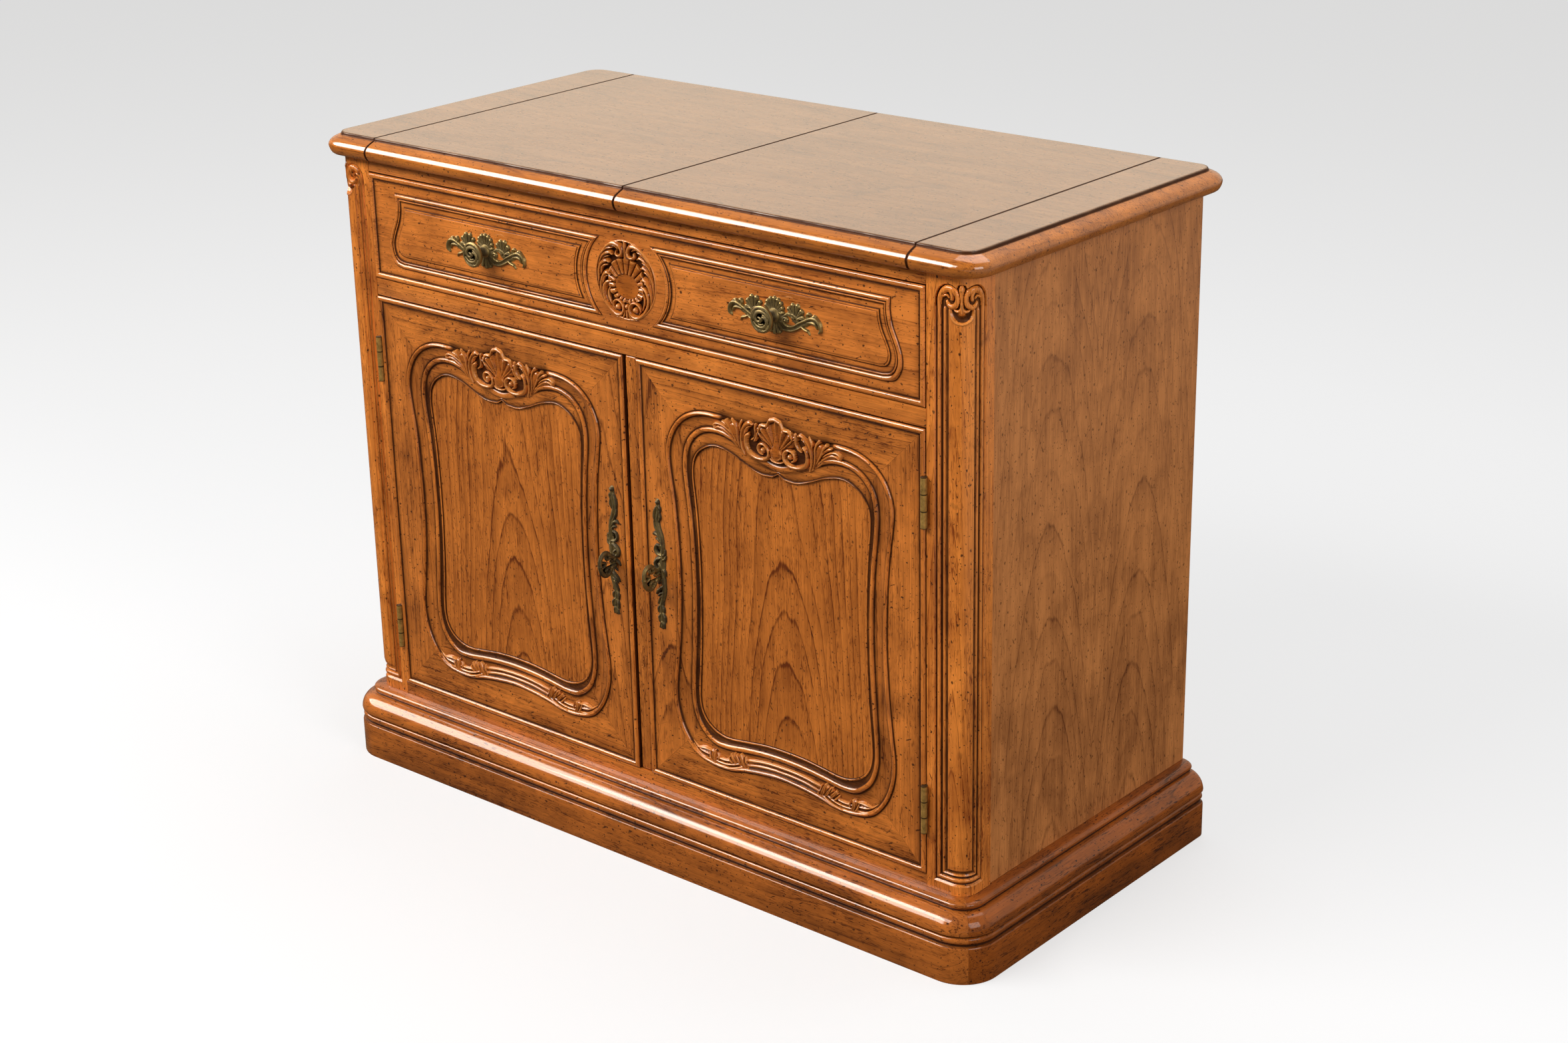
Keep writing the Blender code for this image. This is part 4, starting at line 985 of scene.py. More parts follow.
def rectangle_round(inset):
    """A rectangle as far in from the door's edge as given, with a point opposite each point of the
    moulding."""
    half = np.array([DOOR_HALF * 1000, (DOOR_HIGH - DOOR_LOW) * 500])
    centred = outer_round - (0, DOOR_CENTRE * 1000)
    hit = centred * (half / np.abs(centred).clip(1e-6, None)).min(1)[:, None]
    for corner in half * ((-1, -1), (-1, 1), (1, -1), (1, 1)):
        hit[np.abs(hit - corner).sum(1).argmin()] = corner
    return hit * ((half - inset) / half) + (0, DOOR_CENTRE * 1000)


def frame_levels():
    """Every line of the door frame from its back edge over the face to the panel: points, proudness
    and glaze, with painted shade round the carving and along the top of the panel's edge."""
    at_crest = ease(outer_round[:, 1], 515, 540) * (1 - ease(np.abs(outer_round[:, 0]), 70, 84))
    bead_crest = ease(bead_round[:, 1], 495, 515) * (1 - ease(np.abs(bead_round[:, 0]), 46, 60))
    upper = ease(panel_round[:, 1], 478, 502)
    levels = [(rectangle_round(inset), proud, glaze) for inset, proud, glaze in
              [(1.5, -DOOR_THICK, 0.0), (0.0, -DOOR_THICK, 0.2), *EDGE_BEAD, (16.0, 0.0, 0.06)]]
    for across, proud, glaze, more in ((-7.0, 0.0, 0.05, 0.25), (-2.2, 0.0, 0.2, 0.3),
                                       (-0.5, -0.1, 0.7, 0.0)):
        levels.append((toward(outer_round, bead_round, across), proud, glaze + more * at_crest))
    # Under the carving the outer moulding is cut away to a flat ground.
    for across, proud, glaze in ((0.0, -0.35, 0.9), (0.35, 0.55, 0.35), (0.9, 1.6, 0.0), (1.7, 2.5, -0.3),
                                 (2.6, 2.85, -0.4), (3.5, 2.55, -0.2), (4.3, 1.7, 0.0), (4.9, 0.6, 0.3),
                                 (5.3, -0.4, 0.85), (5.9, -0.8, 0.75)):
        levels.append((toward(outer_round, bead_round, across), proud * (1 - at_crest) - 3.3 * at_crest,
                       glaze * (1 - at_crest) + 0.9 * at_crest))
    start, end = toward(outer_round, bead_round, 6.0), toward(bead_round, outer_round, 3.9)
    for share, proud, glaze in ((0.08, -1.15, 0.40), (0.22, -1.9, 0.25), (0.4, -2.7, 0.22),
                                (0.58, -3.1, 0.24), (0.76, -3.1, 0.28), (0.9, -2.85, 0.40), (1.0, -2.9, 0.8)):
        levels.append((start + (end - start) * share, proud * (1 - at_crest) - 3.3 * at_crest,
                       glaze * (1 - at_crest) + 0.85 * at_crest))
    for across, proud, glaze in ((3.5, -3.2, 1.0), (3.1, -2.6, 0.5), (2.4, -1.5, 0.1), (1.5, -0.75, -0.2),
                                 (0.5, -0.45, -0.35), (-0.6, -0.5, -0.3), (-1.7, -0.95, -0.1),
                                 (-2.6, -1.8, 0.2), (-3.2, -2.8, 0.7), (-3.5, -3.3, 1.0)):
        levels.append((toward(bead_round, outer_round, across), proud * (1 - bead_crest) - 2.9 * bead_crest,
                       glaze * (1 - bead_crest) + 0.3 * bead_crest))
    start, end = toward(bead_round, outer_round, -3.6), toward(panel_round, bead_round, 3.2)
    for share, low, high, glaze in ((0.15, -3.7, -2.9, 0.75), (0.4, -4.0, -2.5, 0.6),
                                    (0.65, -4.05, -2.6, 0.6), (0.88, -3.9, -3.0, 0.7),
                                    (1.0, -4.0, -3.7, 0.95)):
        levels.append((start + (end - start) * share, low + (high - low) * upper, glaze - 0.45 * upper))
    for across, low, high, glaze in ((2.9, -3.9, -3.6, 0.9), (2.4, -3.4, -2.7, 0.3), (1.7, -3.1, -2.2, -0.2),
                                     (1.0, -3.1, -2.2, -0.1), (0.45, -3.4, -2.7, 0.3), (0.1, -3.9, -3.5, 0.8),
                                     (0.0, -4.5, -4.4, 1.0)):
        levels.append((toward(panel_round, bead_round, across), low + (high - low) * upper,
                       glaze + 0.5 * upper))
    return levels + [(panel_round, -DOOR_THICK, 0.3),
                     (toward(panel_round, bead_round, 1.5), -DOOR_THICK, 0.0)]


def door_wood(name, side):
    """Grain along each rail and each stile, which meet in mitres, with a fine joint line between."""
    material = finished_wood(f"door_frame_wood_{name}", GRAIN_X_FRONT,
                             (0.37 if side > 0 else 0.9, 0.28, 0.17), slope=0.06, ring=0.0065, figure=1.4,
                             light=colour(240, 142, 58), pores=0.7)
    tree = material.node_tree
    place = own_place(tree)
    upright = node(tree, "Mapping", {"Vector": place, "Rotation": GRAIN_Z_FRONT,
                                     "Location": (0.5 * side, -0.05 * side, 0.27)}).outputs["Vector"]
    stile = grown(tree, "stile", upright, 0.06, 0.007, 1.4, colour(236, 139, 57), DARK_WOOD, 1.0, 0.7)
    centred = node(tree, "VectorMath", {0: place, 1: (side * DOOR_MIDDLE, 0.0, DOOR_CENTRE)},
                   operation="SUBTRACT")
    size = node(tree, "VectorMath", {0: centred.outputs["Vector"]}, operation="ABSOLUTE")
    axes = split(tree, size.outputs["Vector"])
    lead = worked_out(tree, "SUBTRACT", axes["X"], axes["Z"])
    past = worked_out(tree, "ADD", lead, (DOOR_HIGH - DOOR_LOW) / 2 - DOOR_HALF)
    wood = mixed(tree, worked_out(tree, "GREATER_THAN", past, 0.0), tree.nodes["wood"].outputs["Color"],
                 stile.outputs["Color"])
    tree.links.new(wood, tree.nodes["wear"].inputs["Color"])
    deepen(material, ranged(tree, worked_out(tree, "ABSOLUTE", past), 0.0002, 0.0007, 0.32, 0.0))
    return material


levels = frame_levels()
for name, side in (("left", -1), ("right", 1)):
    loops = []
    for outline, proud, shade in levels:
        proud = np.broadcast_to(proud, len(outline))
        loops.append([(side * (DOOR_MIDDLE + u / 1000), FRONT - p / 1000, z / 1000)
                      for (u, z), p in zip(outline, proud)])
    door = pulled(f"{name}_door_frame", loops, ring=True, glaze=[shade for outline, proud, shade in levels])
    hinge_pockets(door, side, DOOR_EDGE - 0.0012, PAST_EDGE, FRONT - 0.01, FRONT + 0.017)
    hinge_pockets(door, side, HINGE_X - 0.0038, PAST_EDGE, FRONT - 0.012, FRONT - 0.00005)
    finish_piece(door, f"{name}_door", door_wood(name, side),
                 [f"{name}_door_{part}" for part in ("top_rail", "bottom_rail", "hinge_stile", "pull_stile")])
    edge = toward(panel_round, bead_round, -0.3)
    sheet = [[(side * (DOOR_MIDDLE + u / 1000), y, z / 1000) for u, z in edge]
             for y in (PANEL_FACE, PANEL_FACE + PANEL_THICK)]
    veneer = finished_wood(f"door_panel_veneer_{name}", GRAIN_Z_FRONT,
                           (0.0, -side * DOOR_MIDDLE - 0.004, 0.2332 + 0.0012 * side), slope=0.09,
                           ring=0.0066, figure=1.9, light=colour(232, 137, 56), dark=colour(106, 45, 8),
                           specks=0.8, rough=0.36, coat=0.7, mottle=0.6, pores=0.7)
    finish_piece(pulled(f"{name}_door_veneer_panel", sheet), f"{name}_door", veneer, [f"{name}_door_panel"])

# Carving on the doors: a scallop shell with two volutes and acanthus sprays over each panel, and
# reeds bound with small leaves under it. Carved in the solid of the frame, glazed dark with painted shade
# in its hollows, rubbed bright, partly as painted highlights.
carving_wood = finished_wood("carving_wood", GRAIN_X_FRONT, (0.37, 0.28, 0.17), slope=0.05, ring=0.0055,
                             figure=0.5, light=colour(196, 108, 34), specks=0.6)
CARVING_DEPTH = 4.0
SHELL_HEIGHT = 522.0
# Each stroke is its section and its points: across and up in millimetres, half width, and height from
# the face.
CREST_STROKES = [
    ("flat", (11, 529, 4.4, -1.2), (18, 536.4, 6.2, -0.8), (24.6, 543.4, 4.2, 0.4)),
    ("flat", (48.4, 519, 2.4, -1.4), (53, 530, 5, -0.2), (58.4, 540, 5.4, 0.6)),
    ("flat", (50, 517, 1.6, -2), (62, 528, 3.8, -0.9), (74, 535.4, 4.2, -0.2)),
    ("flat", (46.4, 528, 2.6, -0.4), (43.6, 541, 3.8, 0.6), (38.6, 547, 3.2, 1.2)),
    ("round", (37, 536.6, 1.9, 1.6), (40.4, 533.6, 2.6, 2), (41.6, 528, 2.6, 1.8), (40.6, 521.6, 2.5, 1.3),
     (37, 516, 2.5, 1), (31, 512.8, 2.4, 0.7), (24, 511.8, 2.3, 0.6), (17, 512.6, 2.3, 0.8),
     (11.9, 516, 2.3, 1.2), (10, 521.3, 2.2, 1.8), (12, 527, 2.1, 2.2), (17.2, 529.9, 2, 2.3),
     (22.6, 528.2, 1.9, 1.9), (24.8, 523.4, 1.8, 1.2), (22.8, 519, 1.5, 0.4), (19.6, 517.6, 1, -0.4)),
    ("round", (18.2, 522.6, 3.5, 1.9), (18.21, 522.6, 3.5, 1.9)),
    ("left", (44.2, 512.6, 1.6, -0.4), (47.2, 519, 2.3, 0.6), (48, 527, 2.6, 1.2), (47.4, 535, 2.7, 1.7),
     (44.6, 542, 2.9, 2.2), (39.8, 547.6, 3.2, 2.9), (34.6, 550.2, 3, 3), (31.2, 549, 2.2, 2.4)),
    ("round", (43.2, 533, 0.9, 0.2), (41.8, 538.8, 1.3, 0.9), (38.6, 543.4, 1.3, 1.3),
     (34.6, 545.4, 0.9, 0.9)),
    ("round", (47.6, 538, 1.2, 0.6), (48.2, 543, 1.9, 1.6), (46.6, 547.6, 1.9, 2), (45.4, 550.2, 1.4, 1.6)),
    ("right", (46.8, 514.5, 1.2, -1), (50.4, 523, 2.1, 0.4), (51.6, 531, 2.3, 1.2), (52, 538, 2.4, 1.8),
     (54.2, 544, 2.6, 2.3), (57.8, 548.8, 2.2, 2.4)),
    ("right", (50, 518.6, 1.2, -1), (55, 527, 2.1, 0.2), (59.4, 534.6, 2.6, 1.1), (62.4, 540.4, 2.9, 1.9),
     (66.8, 545.4, 2.5, 2.6)),
    ("round", (60.2, 537, 1.2, -0.2), (64.8, 538.6, 1.9, 0.6), (69.4, 541.6, 2.1, 1), (73.6, 543, 1.3, 0.6)),
    ("left", (51.2, 517.6, 1, -1.6), (57.6, 524, 1.9, -0.4), (64.6, 529.8, 2.4, 0.4),
     (71.6, 533.8, 2.6, 0.9), (78.2, 535.2, 2.4, 1.2), (83.4, 533.4, 1.6, 0.8)),
    ("round", (61.4, 531.6, 1, -0.8), (67.8, 536, 1.5, 0), (74.6, 538.8, 1.6, 0.6), (80.4, 539.6, 1.7, 1.2),
     (84.6, 537.6, 1.9, 1.6), (84.2, 534.6, 1.5, 1.2)),
    ("round", (53.6, 519, 0.8, -1.4), (60, 524, 1.1, -0.8), (67.6, 528, 1.1, -0.5), (75, 530, 0.7, -1.2)),
    ("left", (33.6, 531.4, 1.2, 0.4), (29.8, 534, 1.7, 1), (27.4, 539, 1.9, 1.6), (27.8, 545, 2, 2.2),
     (27, 549.6, 1.8, 2.6)),
    ("round", (6.6, 520.4, 1, 0.6), (4.4, 517.6, 1.4, 1.6), (0, 516.4, 1.6, 2), (-4.4, 517.6, 1.4, 1.6)),
    ("round", (9.4, 515.4, 0.9, -0.6), (6, 513.4, 1.3, 0), (0, 512.6, 1.4, 0.2), (-6, 513.4, 1.3, 0)),
]
# These are on one side of the shell only.
CREST_LEFT = [("left", (29.6, 531, 1.6, 0.8), (26.8, 535.6, 2.3, 1.6), (24.6, 540.6, 2.4, 2.2),
               (21.4, 543, 1.5, 1.6))]
CREST_RIGHT = [("round", (12.6, 533, 0.8, 0.4), (17.4, 537.4, 1.3, 1), (22.6, 541.4, 1.4, 1.4),
                (27, 543.6, 0.9, 1))]
REED_STROKES = [
    ("flat", (52, 147.6, 3.2, 0), (56.6, 153, 5, 0.9), (59.6, 158.8, 4.2, 0.6)),
    ("flat", (62, 149, 2.4, -0.6), (69, 152.6, 4.2, 0.5), (73.6, 156.2, 3, 0.2)),
    ("flat", (95.6, 144.4, 3.2, 0.8), (99, 149, 5.2, 1.2), (100.4, 153.6, 3.6, 0.5)),
    ("flat", (104, 150.4, 4.6, -0.5), (113, 150.6, 4.6, -0.4), (122, 153.8, 2.4, -1.4)),
    ("round", (-10, 157.4, 2.5, 0.8), (10, 157.4, 2.5, 0.8), (28, 156.2, 2.5, 0.8), (42, 153.8, 2.5, 0.8),
     (51, 151.4, 2.5, 0.2)),
    ("round", (-10, 162.2, 2.1, -0.5), (10, 162.2, 2.1, -0.5), (28, 161, 2.1, -0.5), (42, 158.8, 2.1, -0.5),
     (52, 156.6, 2.1, -1.2)),
    ("leaf", (51.6, 146, 1.4, 1), (54.6, 149.4, 2.4, 2.2), (56.6, 153.6, 2.8, 2.9), (57.8, 158, 2.6, 2.7),
     (59.4, 162.4, 1.7, 1.8)),
    ("leaf", (55.6, 147.4, 1.4, 1), (60, 150.6, 2.1, 2), (63, 154.6, 2.3, 2.4), (66, 159.6, 1.5, 1.6)),
    ("round", (50.6, 151.6, 1.2, -0.2), (52.8, 155.6, 1.9, 1), (53.6, 160.2, 1.2, 0.4)),
    ("round", (52.2, 144.4, 1.2, 1.2), (49.6, 147.8, 1.6, 1.8), (49.4, 151.8, 1, 0.8)),
    ("leaf", (63, 147.6, 1.3, 0.4), (67.6, 150.8, 2.1, 1.8), (71, 154.4, 2.5, 2.2), (73.8, 158.4, 1.7, 1.4)),
    ("round", (69.6, 147.4, 1.2, 0.4), (74, 150, 1.9, 1.6), (77.2, 153.8, 1.4, 1.1)),
    ("round", (64.6, 153.4, 1, 0.4), (68, 157.4, 1.6, 1), (69.2, 161.4, 1.1, 0.4)),
    ("round", (56, 149, 1.9, 1.8), (64, 145.4, 1.9, 2.6), (73, 142.6, 1.9, 3), (82, 141.2, 1.9, 3),
     (92, 141, 1.9, 2.4)),
    ("round", (61, 150.6, 1.8, 0.8), (70, 147.4, 1.8, 1.6), (78, 145.6, 1.8, 1.8), (86, 144.9, 1.8, 1.6),
     (95, 145, 1.8, 1.2)),
    ("round", (69, 151.4, 1.7, -0.4), (78, 149.4, 1.7, 0.4), (86, 148.6, 1.7, 0.4), (95, 148.6, 1.7, 0)),
    ("leaf", (94.6, 141.4, 1.6, 2), (97.6, 145.6, 2.6, 3), (98.6, 150.6, 3, 3.2), (97, 155.6, 1.9, 2)),
    ("round", (99.6, 143.6, 1.4, 2), (103, 147.8, 2.1, 2.4), (104.8, 152.8, 1.4, 1.4)),
    ("round", (92.6, 146, 1, 1), (92, 150.4, 1.6, 1.2), (93.4, 154.6, 1, 0.4)),
    ("round", (103.6, 154.6, 1.2, 0.6), (109.6, 155.6, 1.9, 1.5), (116, 155, 1.9, 1.4),
     (123, 153.8, 1, 0.2)),
    ("round", (104, 150.2, 1.3, 0.8), (110, 150.6, 1.8, 1), (117, 151.8, 1.8, 0.8), (124, 155.4, 1.5, 0.2),
     (131, 161.4, 0.9, -1.2)),
    ("round", (102.6, 145.8, 1.4, 1.6), (109, 145.6, 1.8, 2), (115.6, 147, 1.8, 1.9), (122, 150.6, 1.7, 1.4),
     (128.6, 156.2, 1, 0)),
]


def rolling(value, knots, heights):
    """Heights joined from knot to knot by soft curves."""
    knots, heights = np.array(knots, dtype=float), np.array(heights, dtype=float)
    i = np.clip(np.searchsorted(knots, value) - 1, 0, len(knots) - 2)
    t = ((value - knots[i]) / (knots[i + 1] - knots[i])).clip(0.0, 1.0)
    return heights[i] + (heights[i + 1] - heights[i]) * t * t * (3 - 2 * t)


def crest_relief(u, z):
    """Heights of the shell, volutes and sprays. Anything left at -6 is not part of the carving."""
    a = np.abs(u)
    carve_here = partial(carved, base=-CARVING_DEPTH)
    relief = np.maximum(carve_here(a, z, CREST_STROKES), carve_here(-u, z, CREST_LEFT))
    relief = np.maximum(relief, carve_here(u, z, CREST_RIGHT))
    # The shell: flutes opening from a bulb up to a wavy rolled rim.
    away = np.hypot(u, z - SHELL_HEIGHT)
    turn = np.degrees(np.arctan2(a, z - SHELL_HEIGHT))
    share = away / rolling(turn, [0, 10, 22, 34, 46, 56], [39.6, 38.4, 32.4, 35.0, 33.0, 22.0])
    flute = rolling(turn, [0, 6.0, 11.0, 21.5, 30.0, 39.0, 46.0, 52.0],
                    [0.75, 0.15, 0.0, 1.0, 0.0, 0.95, 0.15, 0.5])
    spread = ease(share, 0.30, 0.85)
    fan = -0.6 + 1.2 * ease(share, 0.35, 1.0) + (flute - 0.45) * (0.9 + 2.4 * spread)
    rolled = 3.0 - 0.8 * ease(turn, 6, 44) - 4.2 * ((share - 0.945) / 0.085) ** 2
    fan = np.where(share > 0.86, np.maximum(fan - 0.8 * ease(share, 0.86, 0.9), rolled), fan)
    fan = np.where((share < 1.02) & (turn < 52) & (away > 5.0), fan, -6.0)
    bulb_width = rolling(z, [515, 522.5, 532, 543], [4.6, 7.9, 4.0, 2.6])
    bulb = 2.7 - 0.15 * (z - 525).clip(0, 40) - 0.05 * (521 - z).clip(0, 10) ** 1.6
    bulb = np.where((a < bulb_width) & (z < 543) & (z >= 516.6), bulb - 2.6 * (a / bulb_width) ** 2.2, -6.0)
    low = np.interp(a, [0, 8, 30, 45, 60, 90], [511.0, 509.6, 508.6, 509.6, 517.0, 527.0])
    return np.where(z > low, np.maximum(relief, np.maximum(fan, bulb)), -6.0)


def reed_relief(u, z):
    """Heights of the reeds under the panel and the small leaves that bind them."""
    return carved(np.abs(u), z, REED_STROKES, base=-CARVING_DEPTH)


def carving(name, heights, columns, rows, origin, out=(0, -1, 0), along=(1, 0, 0), up=(0, 0, 1), glaze_and_painted_light=None,
            reach=(0.00017, 0.0004, 0.0008)):
    """A carved piece. Its heights stand out from a flat back, and what stays at the back's level is
    left out."""
    at_back = (heights <= heights.min() + 1e-6).reshape(-1)
    u, v = np.meshgrid(columns, rows)
    piece = lattice(name, len(columns), len(rows))
    carve(piece, *[origin[k] + (u * along[k] + v * up[k] + heights * out[k]) / 1000 for k in range(3)], glaze_and_painted_light)
    bpy.ops.object.mode_set(mode="EDIT")
    mesh_edit = bmesh.from_edit_mesh(piece.data)
    for face in mesh_edit.faces:
        face.select_set(all(at_back[v.index] for v in face.verts))
    bmesh.update_edit_mesh(piece.data)
    bpy.ops.mesh.delete(type="FACE")
    bpy.ops.mesh.select_all(action="SELECT")
    bpy.ops.mesh.delete_loose()
    bpy.ops.mesh.select_all(action="SELECT")
    bpy.ops.mesh.region_to_loop()
    bpy.ops.mesh.fill()
    turned_outward()
    settle_glaze_and_shade(piece, reach=reach)
    return piece


for name, side in (("left", -1), ("right", 1)):
    for part, relief, columns, rows in (
            ("crest", crest_relief, np.arange(-88.0, 88.3, 0.46), np.arange(507.5, 564.0, 0.44)),
            ("reeds", reed_relief, np.arange(-133.0, 133.3, 0.54), np.arange(139.0, 165.6, 0.5))):
        heights = relief(*np.meshgrid(columns * side, rows)).clip(-CARVING_DEPTH, None)
        piece = carving(f"{name}_door_{part}", heights, columns, rows, (side * DOOR_MIDDLE, FRONT, 0.0),
                        glaze_and_painted_light=0.7 * ease(-heights, 1.3, 2.8))
        finish_piece(piece, f"{name}_door", carving_wood)

# Drawer front: a solid board with a beaded edge and two raised fields, each stepped up inside a
# bead. Their inner ends are hollowed round the carved cartouche in the middle.
DRAWER_HALF = DOOR_EDGE
DRAWER_LOW = 0.6117
DRAWER_HIGH = 0.7343
DRAWER_MIDDLE = (DRAWER_LOW + DRAWER_HIGH) / 2
DRAWER_THICK = 20.0
CARTOUCHE_HEIGHT = 0.6735
CARTOUCHE_ROUND = 0.0430
SINKING = 0.0043


def sampled(points, count):
    """That many points spread evenly along a line, from its first point to its last."""
    points = np.array(points, dtype=float)
    run = np.concatenate([[0.0], np.cumsum(np.linalg.norm(np.diff(points, axis=0), axis=1))])
    at = np.linspace(0, run[-1], count)
    return np.stack([np.interp(at, run, points[:, k]) for k in range(2)], 1)


def field_round(top, bottom, hollow, end):
    """One field's line: along the top, down its shaped outer end, back along the bottom, up its
    hollowed end."""
    middle = DRAWER_MIDDLE * 1000 - 0.4
    at_top, at_bottom = [np.sqrt(hollow ** 2 - (level - middle) ** 2) for level in (top, bottom)]
    turn = [np.arctan2(z - middle, x) for x, z in ((at_bottom, bottom), (at_top, top))]
    hollow_end = [(hollow * cos(t), middle + hollow * sin(t)) for t in np.linspace(*turn, 30)]
    shaped = smoothed(end, 8)
    return np.concatenate([sampled([(at_top, top), shaped[0]], 24)[:-1], sampled(shaped, 40)[:-1],
                           sampled([shaped[-1], (at_bottom, bottom)], 24)[:-1], sampled(hollow_end, 30)[:-1]])


outer_field = field_round(715.8, 629.2, 57.0, [(353.8, 715.8), (353.2, 703), (356.5, 687), (363.5, 671),
                                               (368.0, 657), (367.0, 643.5), (359.5, 632.5), (347, 629.2)])
inner_field = field_round(696.6, 648.2, 76.5, [(335.5, 696.6), (336.6, 689), (339.8, 679), (345.0, 669),
                                               (348.6, 661), (348.4, 653.5), (345.0, 649.6), (339, 648.2)])
loops, glaze = [], []
for inset, proud, shade in [(0.0, -DRAWER_THICK, 0.2), *EDGE_BEAD, (16.0, 0.0, 0.0)]:
    inset, y = inset / 1000, FRONT - proud / 1000
    wide, low, high = DRAWER_HALF - inset, DRAWER_LOW + inset, DRAWER_HIGH - inset
    loops.append([(wide, y, low), (wide, y, high), (-wide, y, high), (-wide, y, low)])
    glaze.append(shade)
drawer_front = pulled("drawer_front_board", loops, glaze=glaze)
circle = turn_round(0.0, CARTOUCHE_HEIGHT, CARTOUCHE_ROUND, 0.0, 2 * pi, 96)[:-1]
cut_out(drawer_front, pulled("sinking", [[(x, y, z) for x, z in circle]
                                         for y in (FRONT - 0.01, FRONT + SINKING)]))
# Each step of a field: how far from its outer line to its inner one, how proud in millimetres, and the
# glaze, with painted shade at the foot of each step.
field_steps = [(-0.09, 0.03, 0.0), (-0.03, 0.035, 0.5), (-0.005, 0.05, 1.0), (0.012, 0.8, 0.4),
               (0.045, 1.8, -0.1), (0.095, 2.5, -0.3), (0.14, 2.7, -0.35), (0.19, 2.45, -0.2),
               (0.235, 1.7, 0.0), (0.262, 0.9, 0.7), (0.275, 0.4, 1.0), (0.295, 0.35, 1.0), (0.305, 1.0, 0.6),
               (0.325, 1.35, -0.1), (0.375, 1.35, 0.0), (0.395, 1.0, 0.6), (0.41, 0.3, 1.0), (0.45, 0.1, 0.6),
               (0.55, 0.1, 0.1), (0.66, 0.1, 0.1), (0.745, 0.15, 0.7), (0.757, 0.3, 1.0), (0.768, 1.1, 0.5),
               (0.80, 1.35, -0.2), (0.85, 1.35, 0.1), (0.872, 1.4, 0.8), (0.885, 2.1, 0.1),
               (0.92, 2.4, -0.25), (0.97, 2.45, 0.0), (1.0, 2.45, 0.0)]
for name, side in (("left", -1), ("right", 1)):
    loops = [[(side * x / 1000, FRONT + 0.0006, z / 1000) for x, z in outer_field]]
    for share, proud, shade in field_steps:
        line = outer_field + (inner_field - outer_field) * share
        loops.append([(side * x / 1000, FRONT - proud / 1000, z / 1000) for x, z in line])
    field = pulled(f"{name}_field", loops, glaze=[0.0] + [shade for share, proud, shade in field_steps])
    choose(drawer_front, field)
    bpy.ops.object.join()
drawer_wood = finished_wood("drawer_front_wood", GRAIN_X_FRONT, (0.55, 0.62, 0.09), ring=0.006, figure=0.9,
                            light=colour(240, 142, 60), dark=colour(104, 43, 8), pores=0.5)
finish_piece(drawer_front, "drawer", drawer_wood, ["drawer_front"])
maple = finished_wood("drawer_box_wood", GRAIN_Y_TOP, (0.2, 0.09, 0.05), slope=0.04, ring=0.008, figure=0.6,
                      light=colour(214, 178, 128), dark=colour(166, 124, 78), specks=0.25, rough=0.42,
                      coat=0.1)
dress(maple, "drawer_left_side", "drawer_right_side", "drawer_bottom")
dress(poplar, "drawer_back")

